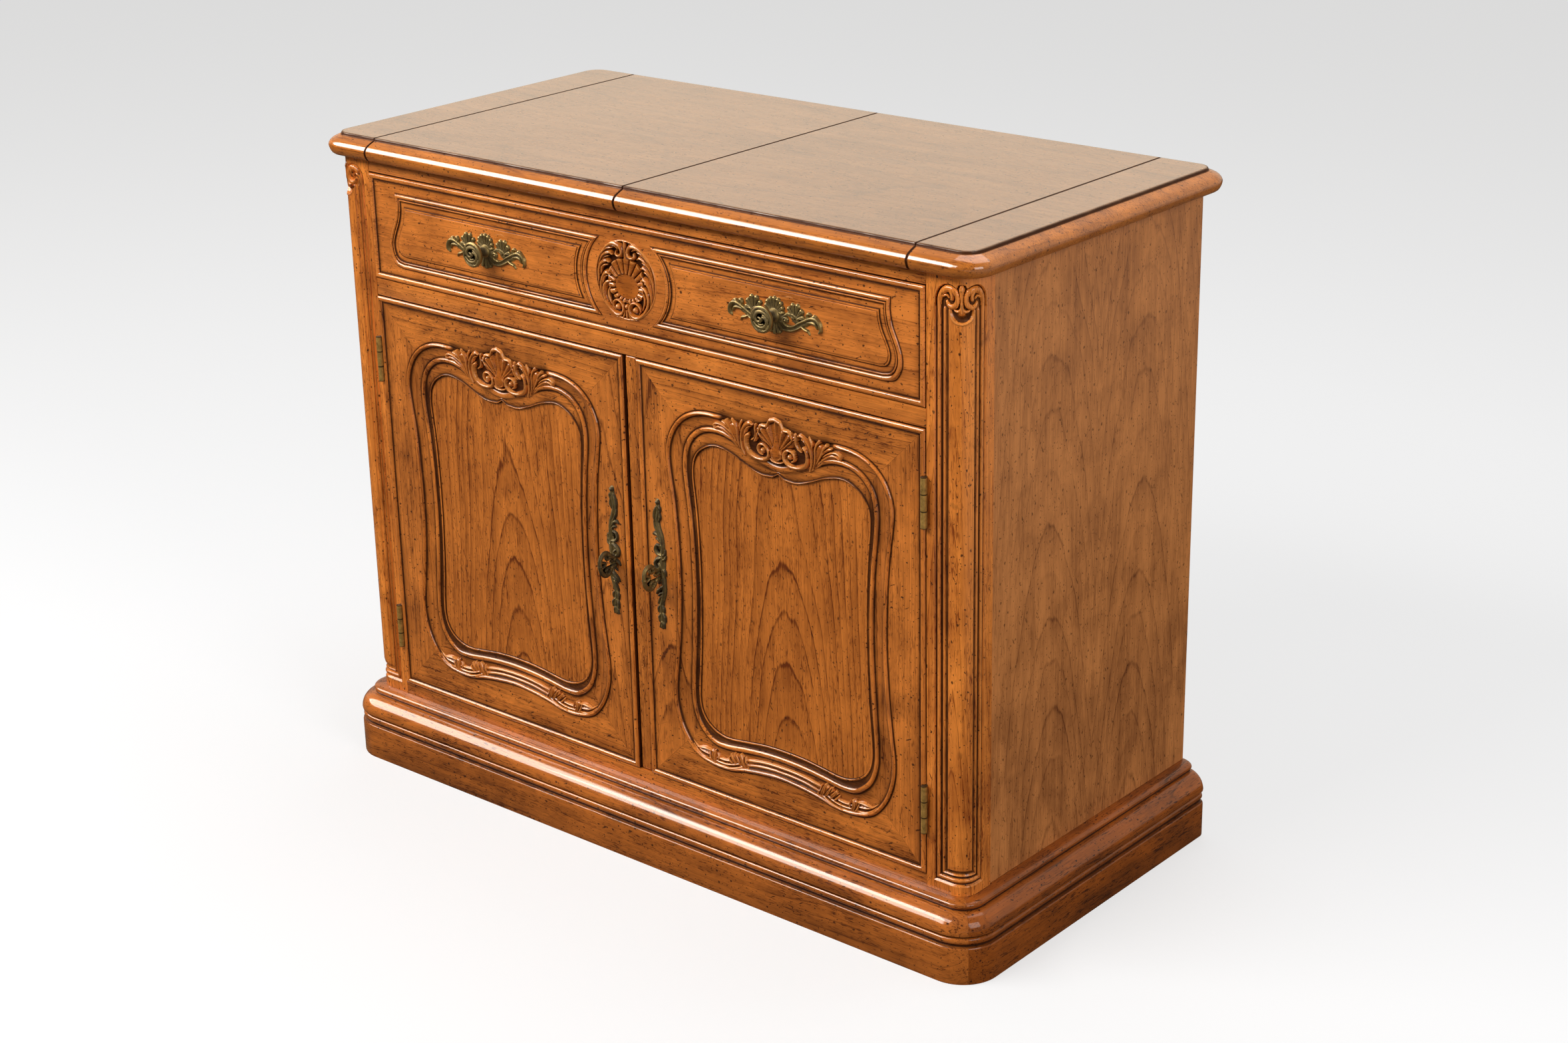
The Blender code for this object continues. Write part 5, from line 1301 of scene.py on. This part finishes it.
# Cartouche: a shell framed by leafy scrolls, carved in a round sinking in the middle of the drawer
# front. Carved solid wood, glazed dark with painted shade in the ground, and rubbed bright on the leaves,
# partly as painted highlights.
CARTOUCHE_DEPTH = 4.6
CARTOUCHE_RIM = 42.6
CARTOUCHE_STROKES = [
    ("left", (22, -4.6, 1.4, 0.8), (26.6, -6.4, 2.3, 2), (30.2, -11, 2.6, 2.4), (31.2, -18, 2.6, 2.2),
     (29.2, -25.4, 2.5, 2), (24.4, -32.2, 2.4, 1.8), (18, -37.2, 2.3, 1.8), (12, -38.8, 2.2, 2),
     (6.8, -36.4, 2, 2.2), (4.8, -31, 1.9, 2.4), (7.2, -25.8, 1.8, 2.4), (12.8, -23.8, 1.7, 2.2),
     (17.6, -26, 1.6, 1.8), (19.2, -30.4, 1.3, 1), (17.2, -34, 0.9, 0)),
    ("left", (34, -27, 1.2, 0.4), (36.8, -18, 2.1, 1.2), (36.6, -9, 2.4, 1.6), (34.2, -1.6, 2.5, 2),
     (30.4, 3.4, 2.6, 2.4), (26, 5.2, 2.4, 2.4), (22.6, 3.4, 1.5, 1.6)),
    ("round", (33, -14, 0.9, 0.2), (33.2, -6, 1.3, 0.9), (30.6, -0.6, 1.4, 1.2), (27, 0.8, 0.9, 0.6)),
    ("left", (39.4, -14, 1, 0.4), (40, -4, 1.8, 1), (39.4, 4.6, 2.2, 1.6), (36.4, 12, 2.5, 2.2),
     (31.6, 16.6, 2.6, 2.5), (26.6, 18.4, 2.3, 2.4), (23.4, 17, 1.4, 1.6)),
    ("round", (36, 1.6, 0.9, 0.2), (34.6, 8.4, 1.3, 1), (30.4, 12.2, 1.4, 1.2), (27, 12.8, 0.9, 0.6)),
    ("left", (39.6, 8, 1, 0.8), (37.2, 15.6, 2, 1.4), (32.8, 22.4, 2.4, 2.2), (27.2, 26.6, 2.5, 2.5),
     (21.6, 28, 2.1, 2.3), (18.4, 26, 1.3, 1.4)),
    ("round", (33, 16.6, 1, 0.6), (29.6, 21, 1.4, 1.1), (24.6, 22.8, 0.9, 0.6)),
    ("left", (36, 20.6, 1.2, 1), (31.4, 28, 2, 1.8), (25.6, 32, 2.2, 2), (18.8, 33.4, 1.3, 1.2)),
    ("left", (33, 26.6, 1.2, 1.2), (26.4, 34, 2.4, 2.2), (18.6, 38.6, 3.1, 3), (11.4, 39, 3.2, 3.2),
     (5.8, 36.2, 2.7, 2.8), (3.4, 31, 2.2, 2.4), (5, 26.4, 2, 2.4), (9.6, 24.6, 1.9, 2.3),
     (13.4, 26.6, 1.6, 1.8), (13, 30.4, 1, 0.8)),
    ("round", (27, 30, 0.8, 0.8), (21, 34.6, 1.2, 1.4), (14.6, 35.4, 1.2, 1.4), (10.4, 33, 0.8, 0.6)),
    ("round", (2.6, -34, 1, 0.4), (4, -38.6, 1.5, 1), (6.4, -42, 1.2, 0.4)),
    ("round", (22, -37.8, 0.8, 0.2), (15, -41.2, 1.2, 0.8), (8.6, -42.8, 1, 0.4)),
    ("round", (22.4, -29.4, 0.9, 0), (25.4, -22.8, 1.5, 0.6), (26, -16.4, 1.5, 0.6), (24, -11.6, 1, 0)),
    ("round", (0, 42, 1.4, 1.4), (0, 36, 1.9, 1.2), (0, 29, 2, 0.8), (0, 23, 2.8, 0.4)),
    ("round", (0, -33.4, 1.3, 0.8), (0, -38, 1.7, 1.2), (0, -42.2, 1.3, 0.6)),
]
VOLUTE_EYES = [("round", (12.6, -30.8, 3.9, 3.2), (12.61, -30.8, 3.9, 3.2))]
MIDDLE_BUD = [("round", (0, -29.2, 3.5, 2.2), (0.01, -29.2, 3.5, 2.2))]


def cartouche_relief(u, v):
    """Heights of the carving in millimetres from the drawer's face, about its own middle."""
    a = np.abs(u)
    away = np.hypot(u, v)
    leaves = carved(a, v, CARTOUCHE_STROKES, base=-CARTOUCHE_DEPTH, wider=1.28, taller=1.15, lift=0.3)
    eyes, bud = [carved(across, v, strokes, base=-CARTOUCHE_DEPTH)
                 for across, strokes in ((a, VOLUTE_EYES), (u, MIDDLE_BUD))]
    # The shell behind the leaves: hollow rays round a plain dished middle, each with a rounded inner end.
    away_from_dish = np.hypot(u / 16.5, (v + 7.5) / 13.5)
    turn = np.degrees(np.arctan2(a, v + 7.5))
    across = np.abs((turn / 18.5 + 0.5) % 1.0 - 0.5) * 2
    ray = -3.6 + 4.4 * np.sqrt((1 - across ** 2).clip(0.0, 1.0)) * ease(away_from_dish, 0.88, 1.12)
    ray = np.where(away_from_dish < 2.25 - 0.75 * ease(turn, 20, 90) - 0.2 * ease(turn, 110, 150), ray, -6.0)
    dish = np.where(away_from_dish < 1.0, -2.2 + 1.0 * away_from_dish ** 3, -6.0)
    rim = np.where(np.abs(away - CARTOUCHE_RIM) < 1.3, 1.1 - 1.3 * (away - CARTOUCHE_RIM) ** 2, -6.0)
    return np.maximum.reduce([-3.7 + 1.4 * ease(away, 36, 42), leaves, eyes, bud, ray, dish, rim])


columns = np.arange(-44.0, 44.1, 0.5)
u, v = np.meshgrid(columns, columns)
heights = cartouche_relief(u, v).clip(-CARTOUCHE_DEPTH, None)
heights[np.hypot(u, v) >= 43.8] = -CARTOUCHE_DEPTH
cartouche = carving("drawer_cartouche", heights, columns, columns, (0.0, FRONT, CARTOUCHE_HEIGHT),
                    glaze_and_painted_light=0.8 * ease(-heights, 1.6, 3.4))
finish_piece(cartouche, "drawer", carving_wood)

# Drawer pulls: cast brass plates of scrolls, leaves and shells, pierced beside the middle, each with a
# round swirled knob on a turned neck. Browned, and rubbed bright on the high places.
KNOB_X = 0.2080
KNOB_HEIGHT = 0.673
KNOB_REACH = 0.0228
FIELD_FACE = FRONT - 0.0024
CAST_REACH = (0.0004, 0.0009, 0.0016)
PLATE_STROKES = [
    ("flat", (0, 0.5, 8.6, 1.6), (7, -1, 7, 1.4)),
    ("flat", (4, -9.5, 3.6, 1.5), (14, -11.6, 3.7, 1.7), (23, -11, 3.4, 1.8), (31, -7.2, 3.1, 1.8),
     (38, -1.8, 3, 1.8), (45, 2.6, 3.2, 1.9)),
    ("round", (9, -12.4, 0.9, 2.2), (16, -13.4, 1.1, 2.9), (24, -12.6, 1.1, 2.9), (31.6, -9, 1.1, 2.7),
     (37, -5, 0.8, 2.2)),
    ("left", (11, -9.4, 0.9, 2), (17, -9.4, 1.3, 2.8), (24, -8.6, 1.4, 3.1), (30, -5.6, 1.5, 3.2),
     (37, -0.4, 1.7, 3.4), (44, 4.6, 2.3, 3.7), (50.6, 7.2, 2.9, 4), (56.6, 6.6, 3, 4.2),
     (60.6, 2.6, 2.7, 4), (61.4, -3, 2.2, 3.4), (59.2, -5.6, 1.3, 2.6)),
    ("round", (44, 2.6, 1.3, 2.6), (50, 3.4, 2, 3), (54.6, 2.4, 1.9, 3), (57, -1.6, 1.1, 2.2)),
    ("round", (46.6, 5, 1.2, 2.6), (44, 8.8, 1.6, 3.2), (45.8, 12, 1.5, 3.2), (48.8, 11.4, 1, 2.4)),
    ("round", (50, 8, 1.2, 2.8), (52.8, 10.4, 1.5, 3), (56, 10.4, 0.9, 2.2)),
    ("round", (35.6, -5.6, 1.2, 2.2), (40, -6.2, 1.6, 2.8), (44.4, -6.6, 1.6, 2.6), (46.4, -9.4, 1, 1.8)),
    ("round", (30, -1.6, 1.1, 2), (33, 2, 1.5, 2.6), (37, 2.6, 1, 2)),
    ("round", (8.6, -4, 1.7, 1.8), (12.4, 0.6, 1.8, 2.2), (17.6, 3.6, 1.7, 2.2), (23.6, 4.4, 1.7, 2.3),
     (29, 2.4, 1.7, 2.3), (31.4, -2.4, 1.6, 2.2), (29.6, -6.6, 1.5, 2)),
    ("round", (20.4, -8.6, 1, 2.2), (14.8, -8, 1.5, 2.8), (11.6, -4.4, 1.6, 3), (13.4, -0.8, 1.5, 2.8),
     (17, -1.2, 1.3, 2.6), (17.2, -4.6, 1.1, 2.2)),
    ("round", (15.2, -3.2, 1.9, 3.4), (15.21, -3.2, 1.9, 3.4)),
    ("flat", (28.6, 2, 7.2, 0.8), (28.2, 7, 8.6, 0.8)),
    ("flat", (4, -6, 5.6, 0.8), (4.6, -13, 6, 0.6)),
    ("flat", (0, 5, 9.6, 0.7), (0, 9, 10, 0.7)),
]
# Fans of small leaves: where each springs from, up or down, how far out its leaves start, the shares of their
# reach, widths of the foot and the tip, the heights, and each leaf's tilt, reach and width.
FANS = [(28.0, -0.6, 1, 2.0, (0.56, 0.92), (0.8, 1.3), (2.2, 2.3, 3.0),
         ((-64, 11.6, 1.7), (-40, 14.4, 2.0), (-14, 16.0, 2.2), (13, 16.4, 2.2), (38, 15.4, 2.1),
          (62, 13.0, 1.8))),
        (0.0, 1.0, 1, 5.0, (0.62, 0.88), (1.0, 1.25), (2.4, 2.6, 3.4),
         ((0, 18.2, 2.3), (19, 18.0, 2.2), (37, 17.0, 2.1), (55, 15.2, 1.9), (74, 13.4, 1.7))),
        (0.0, -1.0, -1, 5.0, (0.7, 1.0), (1.0, 1.25), (2.2, 2.4, 2.9),
         ((0, 17.0, 2.0), (20, 16.6, 2.0), (40, 15.2, 1.9), (60, 13.0, 1.6)))]
for x, y, up, start, (middle, tip), (foot, broad), tops, leaves in FANS:
    for tilt, reach, wide in leaves:
        lean = radians(tilt)
        spots = zip((start, reach * middle, reach * tip), (foot, wide, broad * wide), tops)
        PLATE_STROKES.append(("leaf", *[(x + d * sin(lean), y + up * d * cos(lean), width, top)
                                        for d, width, top in spots]))
KNOB_STROKES = [
    ("left", (8.6, 4, 0.9, 0.8), (4.4, 7.6, 1.5, 1.3), (-1.2, 8.4, 1.8, 1.6), (-6, 6, 1.9, 1.7),
     (-7.6, 1.2, 1.8, 1.7), (-5, -2.6, 1.6, 1.6), (-1.2, -2.4, 1.4, 1.5), (-0.4, 0.8, 1.1, 1.2),
     (-3, 2, 0.8, 0.9)),
    ("left", (-9, -4, 0.9, 0.8), (-4.8, -7.8, 1.5, 1.3), (1.2, -8.6, 1.8, 1.6), (6.2, -6.2, 1.9, 1.7),
     (8, -1.6, 1.8, 1.7), (5.8, 2.4, 1.6, 1.6), (2.4, 2.6, 1.3, 1.4), (1.4, -0.6, 0.9, 1)),
    ("round", (9.8, 0.6, 0.8, 0.6), (10.2, 4, 1.2, 1.1), (7.8, 7.8, 0.8, 0.7)),
    ("round", (-10, -0.4, 0.8, 0.6), (-10.2, 4.2, 1.2, 1.1), (-7.6, 8, 0.8, 0.7)),
    ("round", (-3, 10.6, 0.6, 0.5), (1, 11, 0.9, 0.9), (4.6, 9.8, 0.6, 0.5)),
    ("round", (3.4, -10.8, 0.6, 0.5), (-1, -11, 0.9, 0.9), (-5.2, -9.8, 0.6, 0.5)),
    ("round", (9.8, -5, 0.7, 0.5), (7.6, -8.2, 1, 0.9), (4.4, -5.4, 0.7, 0.5)),
    ("round", (2.4, 5.2, 0.6, 0.6), (4.6, 4.2, 0.9, 1), (5.6, 1, 0.6, 0.6)),
    ("round", (-3, -5, 0.6, 0.6), (-0.4, -5.6, 0.9, 1), (3, -4.4, 0.6, 0.6)),
]
# The knob from its foot to its rim: the radius in millimetres, and how far it stands from the field.
knob_turning = [(0.0, 0.0004), (4.9, 0.0004), (6.6, -0.001), (6.9, -0.0028), (6.2, -0.0040), (4.8, -0.0055),
                (4.4, -0.0080), (4.7, -0.0112), (5.8, -0.0140), (8.4, -0.0162), (11.8, -0.0176),
                (13.7, -0.0191), (14.3, -0.0207), (14.1, -0.0221), (13.4, -KNOB_REACH), (0.0, -KNOB_REACH)]
bronze = brushed_metal("browned_brass", colour(142, 121, 74), colour(64, 52, 29), 0.40)


def plate_relief(u, v):
    """Heights of the plate in millimetres above its back. It is open where no stroke lies."""
    a = 1.03 * np.abs(u)
    hub = np.hypot(u, v + 3.2 * ease(a, 30, 46))
    relief = carved(a, v + 3.2 * ease(a, 30, 46), PLATE_STROKES)
    return np.where(hub < 8.4, np.maximum(relief, 2.6 - 0.9 * ease(hub, 6.4, 8.4)), relief)


def knob_relief(u, v):
    """Heights of the knob's face in millimetres, about its own middle: a moulded rim round a swirl of
    leaves."""
    away = np.hypot(u, v)
    relief = np.maximum.reduce([np.where(away < 14.0, -1.5 * ease(away, 13.0, 14.0), -6.0),
                                0.9 - 1.3 * ((away - 12.3) / 1.1) ** 2, carved(u, v, KNOB_STROKES)])
    return np.where(relief > 0.0, 0.65 * relief, relief)


plate_columns, plate_rows = np.arange(-64.0, 64.1, 0.46), np.arange(-20.5, 20.6, 0.44)
plate_heights = plate_relief(*np.meshgrid(plate_columns, plate_rows)).clip(0.0, None)
knob_columns = np.arange(-14.4, 14.5, 0.36)
knob_heights = knob_relief(*np.meshgrid(knob_columns, knob_columns)).clip(-0.4, None)
for name, side in (("left", -1), ("right", 1)):
    plate = carving(f"{name}_cast_plate", plate_heights, plate_columns, plate_rows,
                    (side * KNOB_X, FIELD_FACE, KNOB_HEIGHT), reach=CAST_REACH)
    finish_piece(plate, "drawer", bronze, [f"{name}_knob_plate"])

    bpy.ops.object.select_all(action="DESELECT")
    bpy.ops.mesh.primitive_plane_add(size=1.0)
    knob = bpy.context.object
    knob.name = knob.data.name = f"{name}_cast_knob"
    bpy.ops.object.mode_set(mode="EDIT")
    bpy.ops.mesh.select_all(action="SELECT")
    bpy.ops.mesh.delete(type="VERT")
    mesh_edit = bmesh.from_edit_mesh(knob.data)
    line = [mesh_edit.verts.new((KNOB_X * side, FIELD_FACE + depth, KNOB_HEIGHT + radius / 1000))
            for radius, depth in knob_turning]
    for first, second in zip(line, line[1:]):
        mesh_edit.edges.new((first, second))
    bmesh.update_edit_mesh(knob.data)
    bpy.ops.mesh.select_all(action="SELECT")
    bpy.ops.mesh.spin(steps=48, angle=2 * pi, center=(KNOB_X * side, 0.0, KNOB_HEIGHT), axis=(0.0, 1.0, 0.0))
    turned_outward(merge=0.00002)
    face = carving(f"{name}_knob_face", knob_heights, knob_columns, knob_columns,
                   (side * KNOB_X, FIELD_FACE - KNOB_REACH, KNOB_HEIGHT), reach=CAST_REACH)
    settle_glaze_and_shade(knob, (2, 6), (0.0008, 0.0020))
    choose(knob, face)
    bpy.ops.object.join()
    finish_piece(knob, "drawer", bronze, [f"{name}_knob"])

# Door pulls: long cast plates of scrolls and leaves, each with a pierced bow like a key's standing
# out from its middle. The same browned brass.
PULL_X = 0.03245
PULL_MIDDLE = 0.359
BOW_MIDDLE = 0.3485
# The plate for the right door, and half the thickness of the bow, seen from the side.
PULL_STROKES = [
    ("flat", (1.2, 74, 2.6, 1), (1.4, 68, 3.4, 1), (0.8, 60, 3.8, 1), (-0.6, 52, 4.2, 1), (1.4, 43, 3.4, 1),
     (4.8, 33, 3.6, 1), (6, 22, 3.4, 1), (5.6, 12, 4.4, 1), (4.6, 2, 5.6, 1), (4.6, -8, 4.8, 1),
     (6.2, -20, 3.6, 1), (6.4, -30, 3.6, 1), (3.4, -40, 3.6, 1), (1.2, -48, 4, 1), (1.6, -57, 4.4, 1),
     (2.4, -66, 4.6, 1), (1.6, -73, 3, 1)),
    ("left", (1.2, 74, 1.8, 2.8), (1.4, 68, 2, 2.4), (0.8, 60, 1.8, 2.4), (-0.6, 52, 1.8, 2.6),
     (1.4, 43, 2, 2.9), (4.8, 33, 2.3, 3.2), (6, 22, 2.3, 3.1), (5.6, 12, 2.1, 2.9), (4.6, 2, 2.2, 2.9),
     (4.6, -8, 2, 2.9), (6.2, -20, 2.2, 3.1), (6.4, -30, 2.3, 3.2), (3.4, -40, 2, 2.9), (1.2, -48, 1.9, 2.6),
     (1.6, -57, 1.7, 2.4), (2.4, -66, 1.8, 2.4), (1.6, -73, 1.8, 2.6)),
    ("round", (1.6, 73, 2.9, 4), (1.61, 73, 2.9, 4)),
    ("round", (1.6, 70, 1, 2), (4.8, 66, 1.6, 2.8), (3.8, 60, 1, 2)),
    ("round", (0.4, 68.4, 1.1, 2), (-2.8, 63, 1.7, 2.8), (-4.4, 56, 1.7, 2.8), (-3.6, 50, 1.1, 2)),
    ("round", (3.6, 62.4, 1, 2), (4.6, 56, 1.6, 2.8), (2.6, 50.6, 1, 2)),
    ("round", (-4.6, 50, 1, 2), (-3, 43.6, 1.5, 2.9), (0.2, 38, 1.4, 2.8), (3.4, 32, 1, 2)),
    ("round", (3.4, 30, 1.2, 2.6), (0, 34.4, 1.9, 3.2), (-3.8, 36.2, 1.9, 3), (-6.4, 34.4, 1.1, 2.2)),
    ("round", (3.6, 26.6, 1, 2.4), (0.4, 29.6, 1.5, 2.8), (-2.6, 29.8, 0.9, 2)),
    ("left", (4.8, 12, 1.3, 2.8), (-0.6, 12.8, 1.9, 3.4), (-3.6, 17, 2, 3.4), (-2.2, 21.8, 1.9, 3.2),
     (1.8, 22.4, 1.6, 2.8), (2.2, 18.6, 1.1, 2.2)),
    ("round", (6, 12, 1.1, 2.4), (9.6, 14, 1.6, 2.9), (10.4, 18.4, 1, 2.2)),
    ("round", (5, 6, 1.2, 2.4), (9.4, 8.4, 1.7, 2.9), (11, 12, 1, 2.2)),
    ("left", (3, 8.6, 1.3, 3), (-2, 6.4, 2.1, 3.6), (-5.4, 1.4, 2.2, 3.8), (-3.6, -4, 2.1, 3.8),
     (1, -5, 1.8, 3.4), (2.6, -1.4, 1.5, 3), (0, 1.2, 1.1, 2.6)),
    ("round", (5, -4, 1.2, 2.4), (9, -6.4, 1.7, 2.9), (10.2, -10.6, 1, 2.2)),
    ("round", (4.8, -9.6, 1.3, 2.8), (0.4, -9.8, 1.9, 3.3), (-4.2, -11.6, 1.8, 3.1),
     (-6.4, -14.6, 1.1, 2.2)),
    ("round", (5.6, -16, 1, 2.4), (1.6, -18.6, 1.5, 2.8), (-1.8, -22, 1, 2)),
    ("round", (6.2, -24, 1.1, 2.4), (2.4, -27, 1.8, 3.2), (-2.2, -31, 1.8, 3), (-4.8, -34.6, 1.1, 2)),
    ("round", (4.6, -32, 1, 2.4), (0.8, -34, 1.4, 2.7), (-2, -37, 1, 2)),
    ("round", (-2.6, -46, 1, 2), (-0.6, -41, 1.3, 2.6), (3, -36, 1, 2.4)),
    ("round", (5.2, -46, 0.9, 1.8), (5, -41, 1.2, 2.4), (6.4, -36, 0.9, 2)),
    ("round", (-2.4, -56, 1.1, 2), (-2.6, -51.6, 1.6, 2.6), (0.2, -47.6, 1, 2)),
    ("round", (5.6, -55, 1.1, 2), (5.6, -51, 1.5, 2.6), (3, -47.6, 1, 2)),
    ("round", (-1.6, -67, 1.2, 2), (-1.8, -61.6, 1.7, 2.8), (1.4, -57, 1, 2)),
    ("round", (6.8, -66, 1.2, 2), (6.6, -61, 1.7, 2.8), (3.6, -57, 1, 2)),
    ("round", (-1.6, -74, 1, 1.8), (0.4, -70, 1.5, 2.6), (2.6, -67, 1.6, 3), (4.8, -70, 1.5, 2.6),
     (5, -74, 1, 1.8)),
]
BOW_STROKES = [
    ("round", (0, 4.6, 2.4, 2.2), (6, 5.6, 2.4, 2.2), (10, 9.8, 2.5, 2.3), (15, 12.8, 2.6, 2.5),
     (20, 11.6, 2.6, 2.5), (23.4, 7.4, 2.5, 2.4), (24.4, 1, 2.4, 2.3), (23.2, -6, 2.5, 2.4),
     (19.4, -11.4, 2.6, 2.5), (14, -13.6, 2.7, 2.5), (8.8, -11, 2.6, 2.3), (5.6, -6.4, 2.4, 2.2),
     (0, -5.4, 2.4, 2.2)),
    ("round", (8, 7, 1.5, 1.8), (11.6, 4.8, 1.7, 2.2), (15, 6.2, 1.5, 2), (15.4, 9.2, 1, 1.5)),
    ("round", (7, -7.6, 1.5, 1.8), (11, -5.6, 1.7, 2.2), (15, -7.2, 1.5, 2), (15.2, -10.2, 1, 1.5)),
    ("round", (23.8, 4.4, 1.2, 1.8), (19, 2.6, 1.6, 2.2), (16.4, 0.4, 1.9, 2.4), (18.8, -2.2, 1.6, 2.2),
     (23.4, -3.8, 1.2, 1.8)),
    ("round", (11.4, 9.8, 2.4, 3.1), (11.41, 9.8, 2.4, 3.1)),
    ("round", (10.6, -10.8, 2.4, 3.1), (10.61, -10.8, 2.4, 3.1)),
    ("round", (24.6, -0.8, 2.2, 3), (24.61, -0.8, 2.2, 3)),
    ("round", (0, 1.6, 1.4, 1.8), (4.4, 0.2, 1.6, 2), (8.4, 1.4, 1, 1.4)),
]
pull_columns, pull_rows = np.arange(-10.0, 12.6, 0.4), np.arange(-77.0, 77.1, 0.42)
pull_heights = carved(*np.meshgrid(pull_columns, pull_rows), PULL_STROKES).clip(0.0, None)
bow_columns, bow_rows = np.arange(-3.0, 27.6, 0.4), np.arange(-17.0, 17.1, 0.4)
bow_heights = carved(*np.meshgrid(bow_columns, bow_rows), BOW_STROKES).clip(0.0, None)
for name, side in (("left", -1), ("right", 1)):
    pull = carving(f"{name}_pull_plate", pull_heights, pull_columns, pull_rows,
                   (side * PULL_X, FRONT, PULL_MIDDLE), along=(side, 0, 0), reach=CAST_REACH)
    halves = [carving(f"{name}_bow_{half}", bow_heights, bow_columns, bow_rows,
                      (side * (PULL_X + 0.0005), FRONT - 0.0012, BOW_MIDDLE), (half, 0, 0), (0, -1, 0),
                      reach=CAST_REACH) for half in (-1, 1)]
    choose(pull, *halves)
    bpy.ops.object.join()
    finish_piece(pull, f"{name}_door", bronze, [f"{name}_door_pull"])

# Door hinges: solid brass butt hinges, two to each door, let into the posts and the doors. Each
# barrel has three knuckles, parted by fine dark lines.
BETWEEN_HINGES = 0.3
hinge_brass = brushed_metal("hinge_brass", colour(224, 180, 98), colour(96, 70, 30), 0.30)
tree = hinge_brass.node_tree
shader = tree.nodes["shader"]
height = split(tree, own_place(tree))["Z"]
is_upper = worked_out(tree, "GREATER_THAN", height, BETWEEN_HINGES)
along = worked_out(tree, "MULTIPLY_ADD", is_upper, HINGE_STARTS[0] - HINGE_STARTS[1], height)
along = worked_out(tree, "SUBTRACT", along, HINGE_STARTS[0])
near = worked_out(tree, "PINGPONG", along, HINGE_LENGTH / 6)
shade = mixed(tree, ranged(tree, near, 0.0004, 0.0011, 0.9, 0.0),
              shader.inputs["Base Color"].links[0].from_socket, colour(30, 20, 10))
tree.links.new(shade, shader.inputs["Base Color"])
for name in ("left", "right"):
    for row in ("upper", "lower"):
        dress(hinge_brass, f"{name}_door_hinge_{row}_fixed", f"{name}_door_hinge_{row}_moving")
